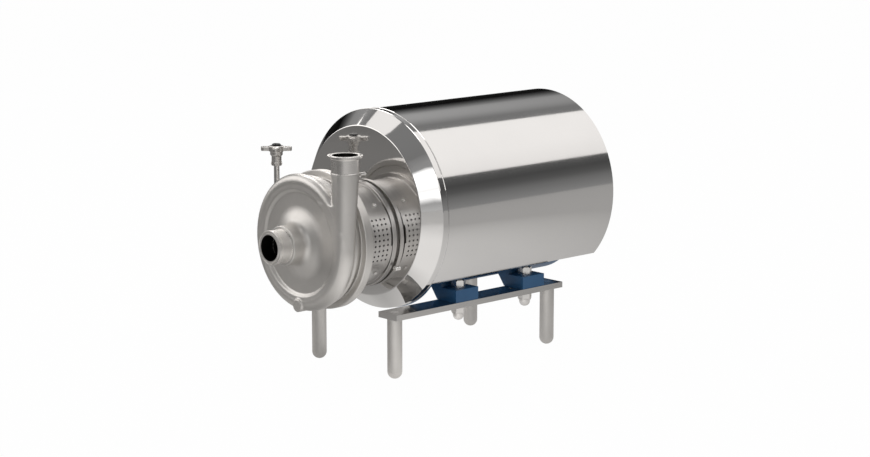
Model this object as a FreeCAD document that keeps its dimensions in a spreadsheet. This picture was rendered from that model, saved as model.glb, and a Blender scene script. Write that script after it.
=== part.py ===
"""Close-coupled sanitary centrifugal pump: clamped casing, lantern, shrouded motor, base on four legs.

Frame: millimetres, +Z up, +X from the suction port towards the motor, outlet on the -Y side.
The origin lies on the floor, halfway along the pump, below the shaft axis.
"""
import FreeCAD
import Part
import math
import os

import Sketcher
from FreeCAD import Placement, Rotation, Vector

DOC = FreeCAD.newDocument("sanitary_pump")
SHEET = DOC.addObject("Spreadsheet::Sheet", "Size")
SUBPARTS = []

SIZES = {
    # base
    "leg_radius": 14.0,
    "leg_height": 115.0,
    "leg_pitch": 402.6,
    "leg_setback": 73.3,
    "bar_length": 438.0,
    "bar_width": 50.0,
    "bar_thick": 11.0,
    "leg_screw_radius": 4.0,
    "leg_screw_depth": 30.0,
    # motor frame size
    "motor_height": 132.0,
    "foot_pitch_across": 216.0,
    "foot_pitch_along": 178.0,
    "foot_pitch_short": 140.0,
    "flange_to_foot": 89.0,
    "foot_block_length": 58.0,
    "foot_block_inner": 84.0,
    "foot_block_outer": 132.0,
    "foot_block_height": 24.0,
    "foot_bolt_radius": 8.0,
    "foot_nut_radius": 13.86,
    "foot_nut_height": 12.5,
    "foot_bolt_stick_out": 6.0,
    "washer_thick": 1.8,
    "washer_radius": 14.0,
    "acorn_height": 28.8,
    "acorn_dome_radius": 12.2,
    "flange_bolt_radius": 6.0,
    "flange_nut_radius": 10.95,
    "flange_nut_height": 10.0,
    "bolt_clearance": 0.7,
    "motor_flange_radius": 150.0,
    "motor_flange_thick": 12.0,
    "flange_bolt_circle": 132.5,
    "spigot_radius": 115.0,
    "spigot_height": 4.0,
    "shaft_radius": 19.0,
    "shaft_reach": 80.0,
    "bearing_seat_radius": 20.0,
    "core_seat_radius": 26.0,
    "fan_seat_radius": 15.0,
    "front_bearing_outer": 45.0,
    "front_bearing_width": 23.0,
    "rear_bearing_outer": 40.0,
    "rear_bearing_width": 18.0,
    "race_thick": 7.0,
    "shield_depth": 36.0,
    "barrel_length": 264.0,
    "barrel_radius": 116.0,
    "barrel_bore": 104.0,
    "fin_radius": 125.0,
    "fin_thick": 3.0,
    "fin_count": 28.0,
    "shield_radius": 126.0,
    "rear_shield_depth": 22.0,
    "core_start": 54.0,
    "core_tail": 70.0,
    "rotor_radius": 62.0,
    "air_gap": 0.6,
    "winding_reach": 28.0,
    "winding_thick": 30.0,
    "cowl_length": 104.0,
    "cowl_wall": 1.5,
    "fan_radius": 100.0,
    "fan_width": 30.0,
    "fan_blades": 7.0,
    "box_length": 110.0,
    "box_width": 110.0,
    "box_height": 48.0,
    "lid_height": 8.0,
    "box_pad_height": 128.0,
    # pump head
    "suction_reach": 128.75,
    "ferrule_length": 27.75,
    "ferrule_radius": 32.0,
    "band_radius": 31.3,
    "port_bore": 23.9,
    "tube_radius": 25.4,
    "neck_radius": 37.0,
    "dome_radius": 62.0,
    "casing_face": 57.3,
    "casing_back": 20.0,
    "rim_ring_front": 62.3,
    "rim_ring_inner": 94.5,
    "rim_ring_slope": 4.5,
    "rim_ring_fillet": 4.0,
    "bell_depth": 13.0,
    "bell_fillet": 14.0,
    "bell_foot_fillet": 40.0,
    "casing_radius": 121.0,
    "volute_reach": 127.0,
    "volute_front": 63.0,
    "volute_start": 11.0,
    "volute_end": 19.0,
    "casing_wall": 3.0,
    "cavity_radius": 106.0,
    "outlet_offset": 105.0,
    "weld_height": 140.0,
    "outlet_length": 32.0,
    "outlet_overlap": 4.0,
    "outlet_shrink": 0.1,
    "shoulder_height": 82.0,
    "web_setback": 0.3,
    "web_inner_reach": 50.0,
    "crease_radius": 97.5,
    "boss_proud": 3.5,
    "boss_radius": 12.0,
    "boss_length": 31.5,
    "boss_drop": 116.0,
    "clamp_flange_radius": 123.0,
    "clamp_flange_root": 117.0,
    "clamp_flange_rim": 5.0,
    "clamp_flange_taper": 1.6,
    "clamp_radius": 129.0,
    "clamp_width": 18.0,
    "clamp_inner": 118.6,
    "clamp_gap": 8.0,
    "plate_spigot": 12.0,
    "plate_back": 10.0,
    "seal_bore": 22.0,
    "seat_radius": 30.0,
    "seat_thick": 6.9,
    "seal_shaft_radius": 16.0,
    "seal_face_length": 8.0,
    "drive_ring_length": 8.4,
    "impeller_radius": 97.0,
    "impeller_seat_radius": 12.0,
    "blade_height": 28.0,
    "blade_thick": 4.0,
    "blade_count": 5.0,
    # clamp screw and knob
    "screw_offset": 135.0,
    "screw_radius": 5.25,
    "thread_radius": 5.0,
    "thread_clearance": 0.05,
    "lug_half_width": 13.0,
    "upper_lug_height": 30.0,
    "lower_lug_height": 23.0,
    "trunnion_radius": 8.0,
    "screw_top": 139.6,
    "screw_tail": 46.0,
    "collar_radius": 9.0,
    "collar_height": 8.0,
    "sleeve_radius": 9.35,
    "sleeve_bottom": 121.5,
    "sleeve_height": 18.1,
    "knob_collar_radius": 11.85,
    "knob_collar_height": 9.4,
    "knob_radius": 29.0,
    "knob_arm_height": 10.0,
    "knob_arms": 5.0,
    "knob_cap_radius": 8.5,
    "knob_cap_height": 4.0,
    # lantern and guards
    "adapter_length": 151.0,
    "adapter_radius": 94.0,
    "adapter_wall": 8.0,
    "adapter_flange_thick": 16.0,
    "adapter_flange_radius": 142.5,
    "plate_screw_circle": 79.0,
    "plate_screw_radius": 3.0,
    "front_ring_radius": 104.0,
    "rim_radius": 100.0,
    "rim_start": 82.0,
    "rim_width": 10.0,
    "window_start": 21.0,
    "window_length": 58.0,
    "window_up": 58.0,
    "window_down": 55.0,
    "guard_gap": 0.2,
    "guard_thick": 1.5,
    "guard_bulge": 4.5,
    "guard_start": 18.5,
    "guard_length": 61.5,
    "guard_low_angle": -44.0,
    "guard_high_angle": 46.0,
    "guard_hole_radius": 2.0,
    "guard_hole_first": 29.0,
    "guard_hole_pitch": 10.0,
    "guard_row_angle": 5.6,
    # shroud
    "shroud_lift": 41.7,
    "shroud_radius": 188.7,
    "shroud_sheet": 1.2,
    "shroud_clearance": 0.2,
    "hood_face_radius": 159.7,
    "hood_cone": 29.6,
    "hood_lip": 13.65,
    "hood_gap": 3.75,
    "hood_hole_clearance": 0.8,
    "hood_screw_circle": 109.0,
    "shell_overlap": 12.0,
    "shell_edge_drop": 85.1,
    "cover_gap": 27.25,
    "cover_inset": 3.0,
    "cover_lip": 12.0,
    # general
    "seat_clearance": 0.1,
    "fit_clearance": 0.02,
    "body_clearance": 0.3,
}


class Measure:
    """A length that carries both its value and the spreadsheet expression it comes from."""

    def __init__(self, value, text):
        self.value = float(value)
        self.text = text

    def __float__(self):
        return self.value

    def combine(self, other, sign, flip=False):
        """Return this length joined to another by an arithmetic sign."""
        left, right = (other, self) if flip else (self, other)
        a = float(left)
        b = float(right)
        result = {"+": a + b, "-": a - b, "*": a * b}.get(sign)
        if sign == "/":
            result = a / b
        return Measure(result, "(%s %s %s)" % (words(left), sign, words(right)))

    def __add__(self, other):
        return self.combine(other, "+")

    def __radd__(self, other):
        return self.combine(other, "+", flip=True)

    def __sub__(self, other):
        return self.combine(other, "-")

    def __rsub__(self, other):
        return self.combine(other, "-", flip=True)

    def __mul__(self, other):
        return self.combine(other, "*")

    def __rmul__(self, other):
        return self.combine(other, "*", flip=True)

    def __truediv__(self, other):
        return self.combine(other, "/")

    def __neg__(self):
        return self.combine(-1.0, "*")


def words(length):
    """Return the expression text of a length, or of a plain number."""
    return length.text if isinstance(length, Measure) else "%.9g" % float(length)


class Dimensions:
    """Gives each spreadsheet cell as a Measure, by its alias."""

    def __getattr__(self, alias):
        return Measure(SHEET.get(alias), "Size." + alias)


def fill_sheet():
    """Write every driving dimension into its own cell, with its alias."""
    for row, (alias, number) in enumerate(SIZES.items(), start=1):
        cell = "A%d" % row
        SHEET.set(cell, str(number))
        SHEET.setAlias(cell, alias)
    DOC.recompute()


def bind(obj, path, length):
    """Tie one property of an object to a length."""
    if isinstance(length, Measure):
        obj.setExpression(path, length.text)


def place(obj, x=0, y=0, z=0):
    """Put an object at a point, each coordinate bound to its expression."""
    obj.Placement = Placement(Vector(float(x), float(y), float(z)), obj.Placement.Rotation)
    bind(obj, "Placement.Base.x", x)
    bind(obj, "Placement.Base.y", y)
    bind(obj, "Placement.Base.z", z)
    return obj


def subpart(obj, label):
    """Name an object as one sub-part of the pump."""
    obj.Label = label
    SUBPARTS.append(obj)
    return obj


def origin_plane(body, role):
    """Find one of a body's own origin planes."""
    for feature in body.Origin.OriginFeatures:
        if feature.Role == role:
            return feature
    raise ValueError(role)


def corner_arc(corner, before, after, radius):
    """Return the round of one outline corner, and the two points where it meets the straight sides."""
    toward_before = (before - corner).normalize()
    toward_after = (after - corner).normalize()
    half_angle = toward_before.getAngle(toward_after) / 2
    reach = radius / math.tan(half_angle)
    first = corner + toward_before * reach
    last = corner + toward_after * reach
    centre = corner + (toward_before + toward_after).normalize() * (radius / math.sin(half_angle))
    left_turn = toward_before.cross(toward_after).z < 0
    start, end = (first, last) if left_turn else (last, first)
    circle = Part.Circle(centre, Vector(0, 0, 1), radius)
    angles = [math.atan2(p.y - centre.y, p.x - centre.x) for p in (start, end)]
    if angles[1] < angles[0]:
        angles[1] += 2 * math.pi
    return Part.ArcOfCircle(circle, angles[0], angles[1]), first, last, left_turn


def draw_outline(sketch, corners):
    """Draw a closed outline of straight sides and rounded corners, every corner bound to the sheet."""
    points = [Vector(float(c[0]), float(c[1]), 0) for c in corners]
    count = len(points)
    arcs = {}
    for i, corner in enumerate(corners):
        if len(corner) == 3:
            arcs[i] = corner_arc(points[i], points[i - 1], points[(i + 1) % count], float(corner[2]))
    constraints = []
    bound = []

    def fix(geo, pos, u, v):
        for kind, axis, length in (("DistanceX", -2, u), ("DistanceY", -1, v)):
            if isinstance(length, Measure) or float(length) != 0:
                bound.append((len(constraints), length))
                constraints.append(Sketcher.Constraint(kind, -1, 1, geo, pos, float(length)))
            else:
                constraints.append(Sketcher.Constraint("PointOnObject", geo, pos, axis))

    for i in range(count):
        start = arcs[i][2] if i in arcs else points[i]
        following = (i + 1) % count
        end = arcs[following][1] if following in arcs else points[following]
        sketch.addGeometry(Part.LineSegment(start, end), False)
    for i, corner in enumerate(corners):
        before = (i - 1) % count
        if i not in arcs:
            constraints.append(Sketcher.Constraint("Coincident", before, 2, i, 1))
            fix(i, 1, corner[0], corner[1])
            continue
        arc, _, _, left_turn = arcs[i]
        arc_id = sketch.addGeometry(arc, False)
        point_id = sketch.addGeometry(Part.Point(points[i]), True)
        into, out = (1, 2) if left_turn else (2, 1)
        constraints.append(Sketcher.Constraint("Tangent", before, 2, arc_id, into))
        constraints.append(Sketcher.Constraint("Tangent", arc_id, out, i, 1))
        bound.append((len(constraints), corner[2]))
        constraints.append(Sketcher.Constraint("Radius", arc_id, float(corner[2])))
        constraints.append(Sketcher.Constraint("PointOnObject", point_id, 1, before))
        constraints.append(Sketcher.Constraint("PointOnObject", point_id, 1, i))
        fix(point_id, 1, corner[0], corner[1])
    sketch.addConstraint(constraints)
    for index, length in bound:
        bind(sketch, "Constraints[%d]" % index, length)


def new_sketch(body, role, name):
    """Start a sketch on one of a body's origin planes."""
    sketch = body.newObject("Sketcher::SketchObject", name)
    sketch.AttachmentSupport = [(origin_plane(body, role), "")]
    sketch.MapMode = "FlatFace"
    return sketch


def turned(name, corners, x=0, y=0, z=0, upright=False):
    """A lathe-turned body: corners are (along X, radius), or (radius, height) when it stands upright."""
    body = DOC.addObject("PartDesign::Body", name)
    sketch = new_sketch(body, "XZ_Plane", name + "_profile")
    draw_outline(sketch, corners)
    turn = body.newObject("PartDesign::Revolution", name + "_turn")
    turn.Profile = sketch
    turn.ReferenceAxis = (sketch, ["V_Axis" if upright else "H_Axis"])
    turn.Angle = 360.0
    return place(body, x, y, z)


def block(name, size, x, y, z):
    """A rectangular block from its lowest corner."""
    box = DOC.addObject("Part::Box", name)
    for side, length in zip(("Length", "Width", "Height"), size):
        setattr(box, side, float(length))
        bind(box, side, length)
    return place(box, x, y, z)


def rod(name, radius, length, x, y, z, direction=Vector(0, 0, 1)):
    """A plain cylinder from one end, pointing along a direction."""
    cylinder = DOC.addObject("Part::Cylinder", name)
    cylinder.Radius = float(radius)
    cylinder.Height = float(length)
    bind(cylinder, "Radius", radius)
    bind(cylinder, "Height", length)
    cylinder.Placement = Placement(Vector(), Rotation(Vector(0, 0, 1), direction))
    return place(cylinder, x, y, z)


def hexagon(name, radius, length, x, y, z, direction=Vector(0, 0, 1)):
    """A hexagonal prism from one end, sized across its corners."""
    prism = DOC.addObject("Part::Prism", name)
    prism.Polygon = 6
    prism.Circumradius = float(radius)
    prism.Height = float(length)
    bind(prism, "Circumradius", radius)
    bind(prism, "Height", length)
    prism.Placement = Placement(Vector(), Rotation(Vector(0, 0, 1), direction))
    return place(prism, x, y, z)


def joined(name, pieces):
    """Fuse several objects into one solid."""
    fuse = DOC.addObject("Part::MultiFuse", name)
    fuse.Shapes = pieces
    return fuse


def carved(name, base, tools):
    """Cut tools out of a base object."""
    tool = tools[0] if len(tools) == 1 else joined(name + "_tools", tools)
    cut = DOC.addObject("Part::Cut", name)
    cut.Base = base
    cut.Tool = tool
    return cut


def gathered(name, pieces):
    """Keep several separate solids together as one object."""
    group = DOC.addObject("Part::Compound", name)
    group.Links = pieces
    return group


def shaped(name, shape):
    """An object whose shape is worked out by this file's own geometry code."""
    feature = DOC.addObject("Part::Feature", name)
    feature.Shape = shape
    feature.Placement = Placement()
    return feature


def on_circle(radius, degrees, centre_z=0.0):
    """Return the (y, z) of a point on a circle about the X axis; 0 degrees is the -Y side, 90 the top."""
    angle = math.radians(degrees)
    return -radius * math.cos(angle), centre_z + radius * math.sin(angle)


fill_sheet()
d = Dimensions()

SHAFT_Z = d.leg_height + d.bar_thick + d.motor_height
BAR_TOP = d.leg_height + d.bar_thick
MOTOR_LENGTH = d.shield_depth + d.barrel_length + d.cowl_length
OVERALL = d.suction_reach + d.adapter_length + MOTOR_LENGTH + d.cover_gap
PARTING = d.suction_reach - OVERALL / 2
FLANGE = PARTING + d.adapter_length
REAR = FLANGE + MOTOR_LENGTH + d.cover_gap
SHROUD_Z = SHAFT_Z + d.shroud_lift
FRONT_FOOT = FLANGE + d.flange_to_foot
REAR_FOOT = FRONT_FOOT + d.foot_pitch_along
HALF_ACROSS = d.foot_pitch_across / 2
FRONT_LEG = FLANGE - d.leg_setback
BARREL_START = FLANGE + d.shield_depth
BARREL_END = BARREL_START + d.barrel_length
CORE_LENGTH = d.barrel_length - d.core_start - d.core_tail
SIDES = (("near", -1), ("far", 1))


def make_legs():
    """Four round legs with domed ends, screwed up into the bars from above."""
    for side, sign in SIDES:
        for end, x in (("front", FRONT_LEG), ("rear", FRONT_LEG + d.leg_pitch)):
            name = "leg_%s_%s" % (end, side)
            outline = [
                (0, 0),
                (d.leg_radius, 0, d.leg_radius - 0.1),
                (d.leg_radius, d.leg_height),
                (d.leg_screw_radius + d.fit_clearance, d.leg_height),
                (d.leg_screw_radius + d.fit_clearance, d.leg_height - d.leg_screw_depth),
                (0, d.leg_height - d.leg_screw_depth),
            ]
            subpart(turned(name, outline, x, sign * HALF_ACROSS, 0, upright=True), name)


def make_bars():
    """Two flat bars that carry the motor feet, drilled for the feet, a shorter motor and the legs."""
    start = FRONT_LEG + d.leg_pitch / 2 - d.bar_length / 2
    hole = d.foot_bolt_radius + d.bolt_clearance
    for side, sign in SIDES:
        name = "base_bar_" + side
        y = sign * HALF_ACROSS
        bar = block(name + "_blank", (d.bar_length, d.bar_width, d.bar_thick),
                    start, y - d.bar_width / 2, d.leg_height)
        tools = []
        for i, x in enumerate((FRONT_FOOT, REAR_FOOT)):
            tools.append(rod("%s_hole_%d" % (name, i), hole, d.bar_thick, x, y, d.leg_height))
        tools.append(rod(name + "_spare", d.leg_screw_radius, d.bar_thick,
                         FRONT_FOOT + d.foot_pitch_short, y, d.leg_height))
        for i, x in enumerate((FRONT_LEG, FRONT_LEG + d.leg_pitch)):
            tools.append(countersunk("%s_sink_%d" % (name, i), x, y, d.fit_clearance))
        subpart(carved(name, bar, tools), name)


def countersunk(name, x, y, clearance):
    """The form of a countersunk leg screw, larger by a clearance, as a screw or as its hole."""
    radius = d.leg_screw_radius + clearance
    outline = [
        (0, -d.leg_screw_depth + 2),
        (radius, -d.leg_screw_depth + 2),
        (radius, d.bar_thick - 4.4),
        (radius + 4.2, d.bar_thick - 0.2),
        (radius + 4.2, d.bar_thick),
        (0, d.bar_thick),
    ]
    return turned(name, outline, x, y, d.leg_height, upright=True)


def make_leg_screws():
    """Countersunk screws that hold the legs under the bars."""
    screws = []
    for side, sign in SIDES:
        for end, x in (("front", FRONT_LEG), ("rear", FRONT_LEG + d.leg_pitch)):
            screws.append(countersunk("leg_screw_%s_%s" % (end, side), x, sign * HALF_ACROSS, 0.0))
    subpart(gathered("leg_screws", screws), "leg_screws")


def foot_spots():
    """Return the name and place of each of the four foot bolts."""
    spots = []
    for side, sign in SIDES:
        for end, x in (("front", FRONT_FOOT), ("rear", REAR_FOOT)):
            spots.append((end + "_" + side, x, sign * HALF_ACROSS))
    return spots


def make_foot_fasteners():
    """Studs through foot and bar, a washered nut above and a domed nut below."""
    foot_top = BAR_TOP + d.foot_block_height
    stud_bottom = d.leg_height - d.acorn_height + 6
    stud_top = foot_top + d.washer_thick + d.foot_nut_height + d.foot_bolt_stick_out
    thread = d.foot_bolt_radius + d.fit_clearance
    studs = []
    nuts = []
    acorns = []
    for name, x, y in foot_spots():
        studs.append(rod("stud_" + name, d.foot_bolt_radius, stud_top - stud_bottom, x, y, stud_bottom))
        washer = rod("washer_" + name, d.washer_radius, d.washer_thick, x, y, foot_top)
        nut = hexagon("nut_" + name, d.foot_nut_radius, d.foot_nut_height, x, y, foot_top + d.washer_thick)
        bore = rod("nut_bore_" + name, thread, d.washer_thick + d.foot_nut_height, x, y, foot_top)
        nuts.append(carved("washered_nut_" + name, joined("nut_blank_" + name, [washer, nut]), [bore]))
        acorns.append(acorn_nut(name, x, y, thread))
    subpart(gathered("foot_studs", studs), "foot_studs")
    subpart(gathered("foot_nuts", nuts), "foot_nuts")
    subpart(gathered("domed_nuts", acorns), "domed_nuts")


def acorn_nut(name, x, y, thread):
    """A domed nut with its washer, hanging under a bar."""
    neck = d.acorn_height - d.washer_thick - d.foot_nut_height
    washer = rod("acorn_washer_" + name, d.washer_radius, d.washer_thick, x, y,
                 d.leg_height - d.washer_thick)
    prism = hexagon("acorn_hex_" + name, d.foot_nut_radius, d.foot_nut_height, x, y,
                    d.leg_height - d.washer_thick - d.foot_nut_height)
    outline = [
        (0, 0),
        (d.acorn_dome_radius, 0, d.acorn_dome_radius - 0.4),
        (d.acorn_dome_radius, neck),
        (0, neck),
    ]
    dome = turned("acorn_dome_" + name, outline, x, y, d.leg_height - d.acorn_height, upright=True)
    bore = rod("acorn_bore_" + name, thread, d.acorn_height - 5, x, y, d.leg_height - d.acorn_height + 5)
    blank = joined("acorn_blank_" + name, [washer, prism, dome])
    return carved("acorn_" + name, blank, [bore])


def make_motor_frame():
    """The finned barrel with its four feet and the seat of the terminal box."""
    barrel = DOC.addObject("PartDesign::Body", "barrel")
    sketch = new_sketch(barrel, "XZ_Plane", "barrel_profile")
    draw_outline(sketch, [
        (0, d.barrel_bore),
        (0, d.shield_radius - 4),
        (8, d.shield_radius - 4),
        (8, d.barrel_radius, 3),
        (d.barrel_length - 8, d.barrel_radius, 3),
        (d.barrel_length - 8, d.shield_radius - 4),
        (d.barrel_length, d.shield_radius - 4),
        (d.barrel_length, d.barrel_bore),
    ])
    turn = barrel.newObject("PartDesign::Revolution", "barrel_turn")
    turn.Profile = sketch
    turn.ReferenceAxis = (sketch, ["H_Axis"])
    turn.Angle = 360.0
    fin_sketch = new_sketch(barrel, "XY_Plane", "fin_profile")
    draw_outline(fin_sketch, [
        (6, -d.fin_thick / 2),
        (d.barrel_length - 6, -d.fin_thick / 2),
        (d.barrel_length - 6, d.fin_thick / 2),
        (6, d.fin_thick / 2),
    ])
    pad = barrel.newObject("PartDesign::Pad", "fin")
    pad.Profile = fin_sketch
    pad.Length = float(d.fin_radius)
    bind(pad, "Length", d.fin_radius)
    DOC.recompute()
    around = barrel.newObject("PartDesign::PolarPattern", "fins")
    around.Originals = [pad]
    around.Axis = (sketch, ["H_Axis"])
    around.Angle = 360.0
    around.Occurrences = int(float(d.fin_count))
    barrel.Tip = around
    place(barrel, BARREL_START, 0, SHAFT_Z)
    bore = rod("barrel_bore_cut", d.barrel_bore, d.barrel_length, BARREL_START, 0, SHAFT_Z,
               Vector(1, 0, 0))
    feet = []
    holes = [bore]
    hole = d.foot_bolt_radius + d.bolt_clearance
    for name, x, y in foot_spots():
        feet.append(foot(name, x, -1 if "near" in name else 1))
        holes.append(rod("foot_hole_" + name, hole, d.foot_block_height, x, y, BAR_TOP))
    pad_length = d.box_length - 10
    seat = block("box_seat", (pad_length, d.box_width - 10, d.box_pad_height - d.barrel_bore),
                 BARREL_START + 24 + 5, 5 - d.box_width / 2, SHAFT_Z + d.barrel_bore)
    blank = joined("frame_blank", [barrel, seat] + feet)
    subpart(carved("motor_frame", blank, holes), "motor_frame")


def foot(name, x, sign):
    """One foot: a block on the bar and the sloping web that ties it to the barrel."""
    inner = d.foot_block_inner
    outer = d.foot_block_outer
    web = 8.0
    outline = [
        (sign * (inner - 22), d.foot_block_height),
        (sign * (inner - 4), 0),
        (sign * outer, 0),
        (sign * outer, d.foot_block_height),
        (sign * (inner + web), d.foot_block_height),
        (sign * (inner + 2), d.foot_block_height + 32),
        (sign * (inner - 30), d.foot_block_height + 32),
    ]
    body = DOC.addObject("PartDesign::Body", "foot_" + name)
    sketch = new_sketch(body, "YZ_Plane", "foot_profile_" + name)
    draw_outline(sketch, outline)
    pad = body.newObject("PartDesign::Pad", "foot_pad_" + name)
    pad.Profile = sketch
    pad.Length = float(d.foot_block_length)
    bind(pad, "Length", d.foot_block_length)
    return place(body, x - d.foot_block_length / 2, 0, BAR_TOP)


def make_end_shields():
    """The flanged drive-end shield and the plain rear shield, each with its bearing seat."""
    seat = d.front_bearing_outer + d.fit_clearance
    depth = 14 + d.front_bearing_width
    front = turned("drive_end_blank", [
        (-d.spigot_height, 62),
        (-d.spigot_height, d.spigot_radius),
        (0, d.spigot_radius),
        (0, d.motor_flange_radius, 1),
        (d.motor_flange_thick, d.motor_flange_radius, 1),
        (d.motor_flange_thick, d.flange_bolt_circle - d.flange_nut_radius - 2, 2),
        (d.shield_depth - 10, d.flange_bolt_circle - d.flange_nut_radius - 2, 2),
        (d.shield_depth - 8, d.shield_radius),
        (d.shield_depth, d.shield_radius),
        (d.shield_depth, d.barrel_bore + 6),
        (20, d.barrel_bore),
        (20, 62),
        (depth + 1, 56),
        (depth + 1, seat),
        (14, seat),
        (14, d.bearing_seat_radius + 1),
        (4, d.bearing_seat_radius + 1),
        (4, 56),
    ], FLANGE, 0, SHAFT_Z)
    holes = []
    for i in range(4):
        y, z = on_circle(float(d.flange_bolt_circle), 45 + 90 * i)
        holes.append(rod("shield_hole_%d" % i, d.flange_bolt_radius + d.bolt_clearance,
                         d.motor_flange_thick, FLANGE, y, SHAFT_Z + z, Vector(1, 0, 0)))
    subpart(carved("drive_end_flange", front, holes), "drive_end_flange")
    seat = d.rear_bearing_outer + d.fit_clearance
    rear = turned("rear_end_shield", [
        (0, d.barrel_bore + 6),
        (0, d.shield_radius),
        (6, d.shield_radius, 2),
        (d.rear_shield_depth - 6, d.shield_radius - 22, 5),
        (d.rear_shield_depth, 60, 5),
        (d.rear_shield_depth, 40),
        (d.rear_shield_depth, d.bearing_seat_radius + 1),
        (d.rear_shield_depth - 3, d.bearing_seat_radius + 1),
        (d.rear_shield_depth - 3, seat),
        (0.5, seat),
        (0.5, 50),
        (d.rear_shield_depth - 8, 56),
        (5, d.barrel_bore - 10, 4),
    ], BARREL_END, 0, SHAFT_Z)
    subpart(rear, "rear_end_shield")


def make_bearing(name, x, outer, width):
    """A bearing as its fixed outer race and its turning inner race with the row of balls."""
    seat = d.bearing_seat_radius + d.fit_clearance
    subpart(turned(name + "_outer", [
        (0, outer - d.race_thick),
        (0, outer),
        (width, outer),
        (width, outer - d.race_thick),
    ], x, 0, SHAFT_Z), name + "_outer")
    crown = outer - d.race_thick - d.body_clearance
    subpart(turned(name + "_inner", [
        (0, seat),
        (0, seat + d.race_thick),
        (width / 4, seat + d.race_thick),
        (width / 4, crown, 3),
        (width * 3 / 4, crown, 3),
        (width * 3 / 4, seat + d.race_thick),
        (width, seat + d.race_thick),
        (width, seat),
    ], x, 0, SHAFT_Z), name + "_inner")


def make_motor_inside():
    """Shaft, key, rotor, stator, windings, bearings, fan and fan cowl."""
    front_seat = FLANGE + 14 + d.seat_clearance
    rear_seat = BARREL_END + 1
    shaft_length = d.shield_depth + d.barrel_length + 74
    shaft = turned("shaft_blank", [
        (-d.shaft_reach, 0),
        (-d.shaft_reach, d.shaft_radius - 1),
        (1 - d.shaft_reach, d.shaft_radius),
        (11, d.shaft_radius),
        (11, d.bearing_seat_radius),
        (14 + d.front_bearing_width + 3, d.bearing_seat_radius),
        (14 + d.front_bearing_width + 3, d.core_seat_radius),
        (d.shield_depth + d.barrel_length - 2, d.core_seat_radius),
        (d.shield_depth + d.barrel_length - 2, d.bearing_seat_radius),
        (d.shield_depth + d.barrel_length + d.rear_shield_depth + 2, d.bearing_seat_radius),
        (d.shield_depth + d.barrel_length + d.rear_shield_depth + 2, d.fan_seat_radius),
        (shaft_length, d.fan_seat_radius),
        (shaft_length, 0),
    ], FLANGE, 0, SHAFT_Z)
    key_x = FLANGE - d.shaft_reach + 6
    slot = block("key_slot", (50, 10 + 2 * d.fit_clearance, 8), key_x, -5 - d.fit_clearance,
                 SHAFT_Z + d.shaft_radius - 5)
    subpart(carved("motor_shaft", shaft, [slot]), "motor_shaft")
    subpart(block("shaft_key", (49, 10, 8), key_x + 0.5, -5,
                  SHAFT_Z + d.shaft_radius - 5 + d.fit_clearance), "shaft_key")
    make_bearing("front_bearing", front_seat, d.front_bearing_outer, d.front_bearing_width)
    make_bearing("rear_bearing", rear_seat, d.rear_bearing_outer, d.rear_bearing_width)
    core_x = BARREL_START + d.core_start
    subpart(turned("rotor_core", [
        (0, d.core_seat_radius + d.fit_clearance),
        (0, d.rotor_radius - 4),
        (4, d.rotor_radius),
        (CORE_LENGTH - 4, d.rotor_radius),
        (CORE_LENGTH, d.rotor_radius - 4),
        (CORE_LENGTH, d.core_seat_radius + d.fit_clearance),
    ], core_x, 0, SHAFT_Z), "rotor_core")
    bore = d.rotor_radius + d.air_gap
    subpart(turned("stator_core", [
        (0, bore),
        (0, d.barrel_bore - d.seat_clearance),
        (CORE_LENGTH, d.barrel_bore - d.seat_clearance),
        (CORE_LENGTH, bore),
    ], core_x, 0, SHAFT_Z), "stator_core")
    coils = []
    for end, x in (("front", core_x - d.winding_reach - d.seat_clearance),
                   ("rear", core_x + CORE_LENGTH + d.seat_clearance)):
        coils.append(turned("winding_" + end, [
            (0, bore + 5, 6),
            (0, bore + 5 + d.winding_thick, 6),
            (d.winding_reach, bore + 5 + d.winding_thick, 6),
            (d.winding_reach, bore + 5, 6),
        ], x, 0, SHAFT_Z))
    subpart(gathered("stator_windings", coils), "stator_windings")
    subpart(shaped("cooling_fan", fan_shape()), "cooling_fan")
    make_fan_cowl()


def fan_shape():
    """A hub and back disc with straight radial blades."""
    x = float(BARREL_END + d.rear_shield_depth) + 16
    z = float(SHAFT_Z)
    width = float(d.fan_width)
    radius = float(d.fan_radius)
    bore = float(d.fan_seat_radius + d.fit_clearance)
    axis = Vector(1, 0, 0)
    fan = Part.makeCylinder(26, width, Vector(x, 0, z), axis)
    fan = fan.fuse(Part.makeCylinder(radius - 12, 3, Vector(x, 0, z), axis))
    count = int(float(d.fan_blades))
    for i in range(count):
        blade = Part.makeBox(width, 3, radius - 22, Vector(x, -1.5, z + 22))
        blade.rotate(Vector(x, 0, z), axis, 360.0 * i / count)
        fan = fan.fuse(blade)
    return fan.cut(Part.makeCylinder(bore, width, Vector(x, 0, z), axis)).removeSplitter()


def make_fan_cowl():
    """The sheet cowl over the fan, with ring slots in its end."""
    inner = d.shield_radius + d.body_clearance
    outer = inner + d.cowl_wall
    cowl = turned("cowl_blank", [
        (1, inner),
        (1, outer),
        (d.cowl_length, outer, 8),
        (d.cowl_length, 0),
        (d.cowl_length - d.cowl_wall, 0),
        (d.cowl_length - d.cowl_wall, inner, 6.5),
    ], BARREL_END, 0, SHAFT_Z)
    x = BARREL_END + d.cowl_length - d.cowl_wall - 1
    tools = slot_rays("cowl_slot", x, d.cowl_wall + 2, 30.0, 92.0, 20, 5.0)
    subpart(carved("fan_cowl", cowl, tools), "fan_cowl")


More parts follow.
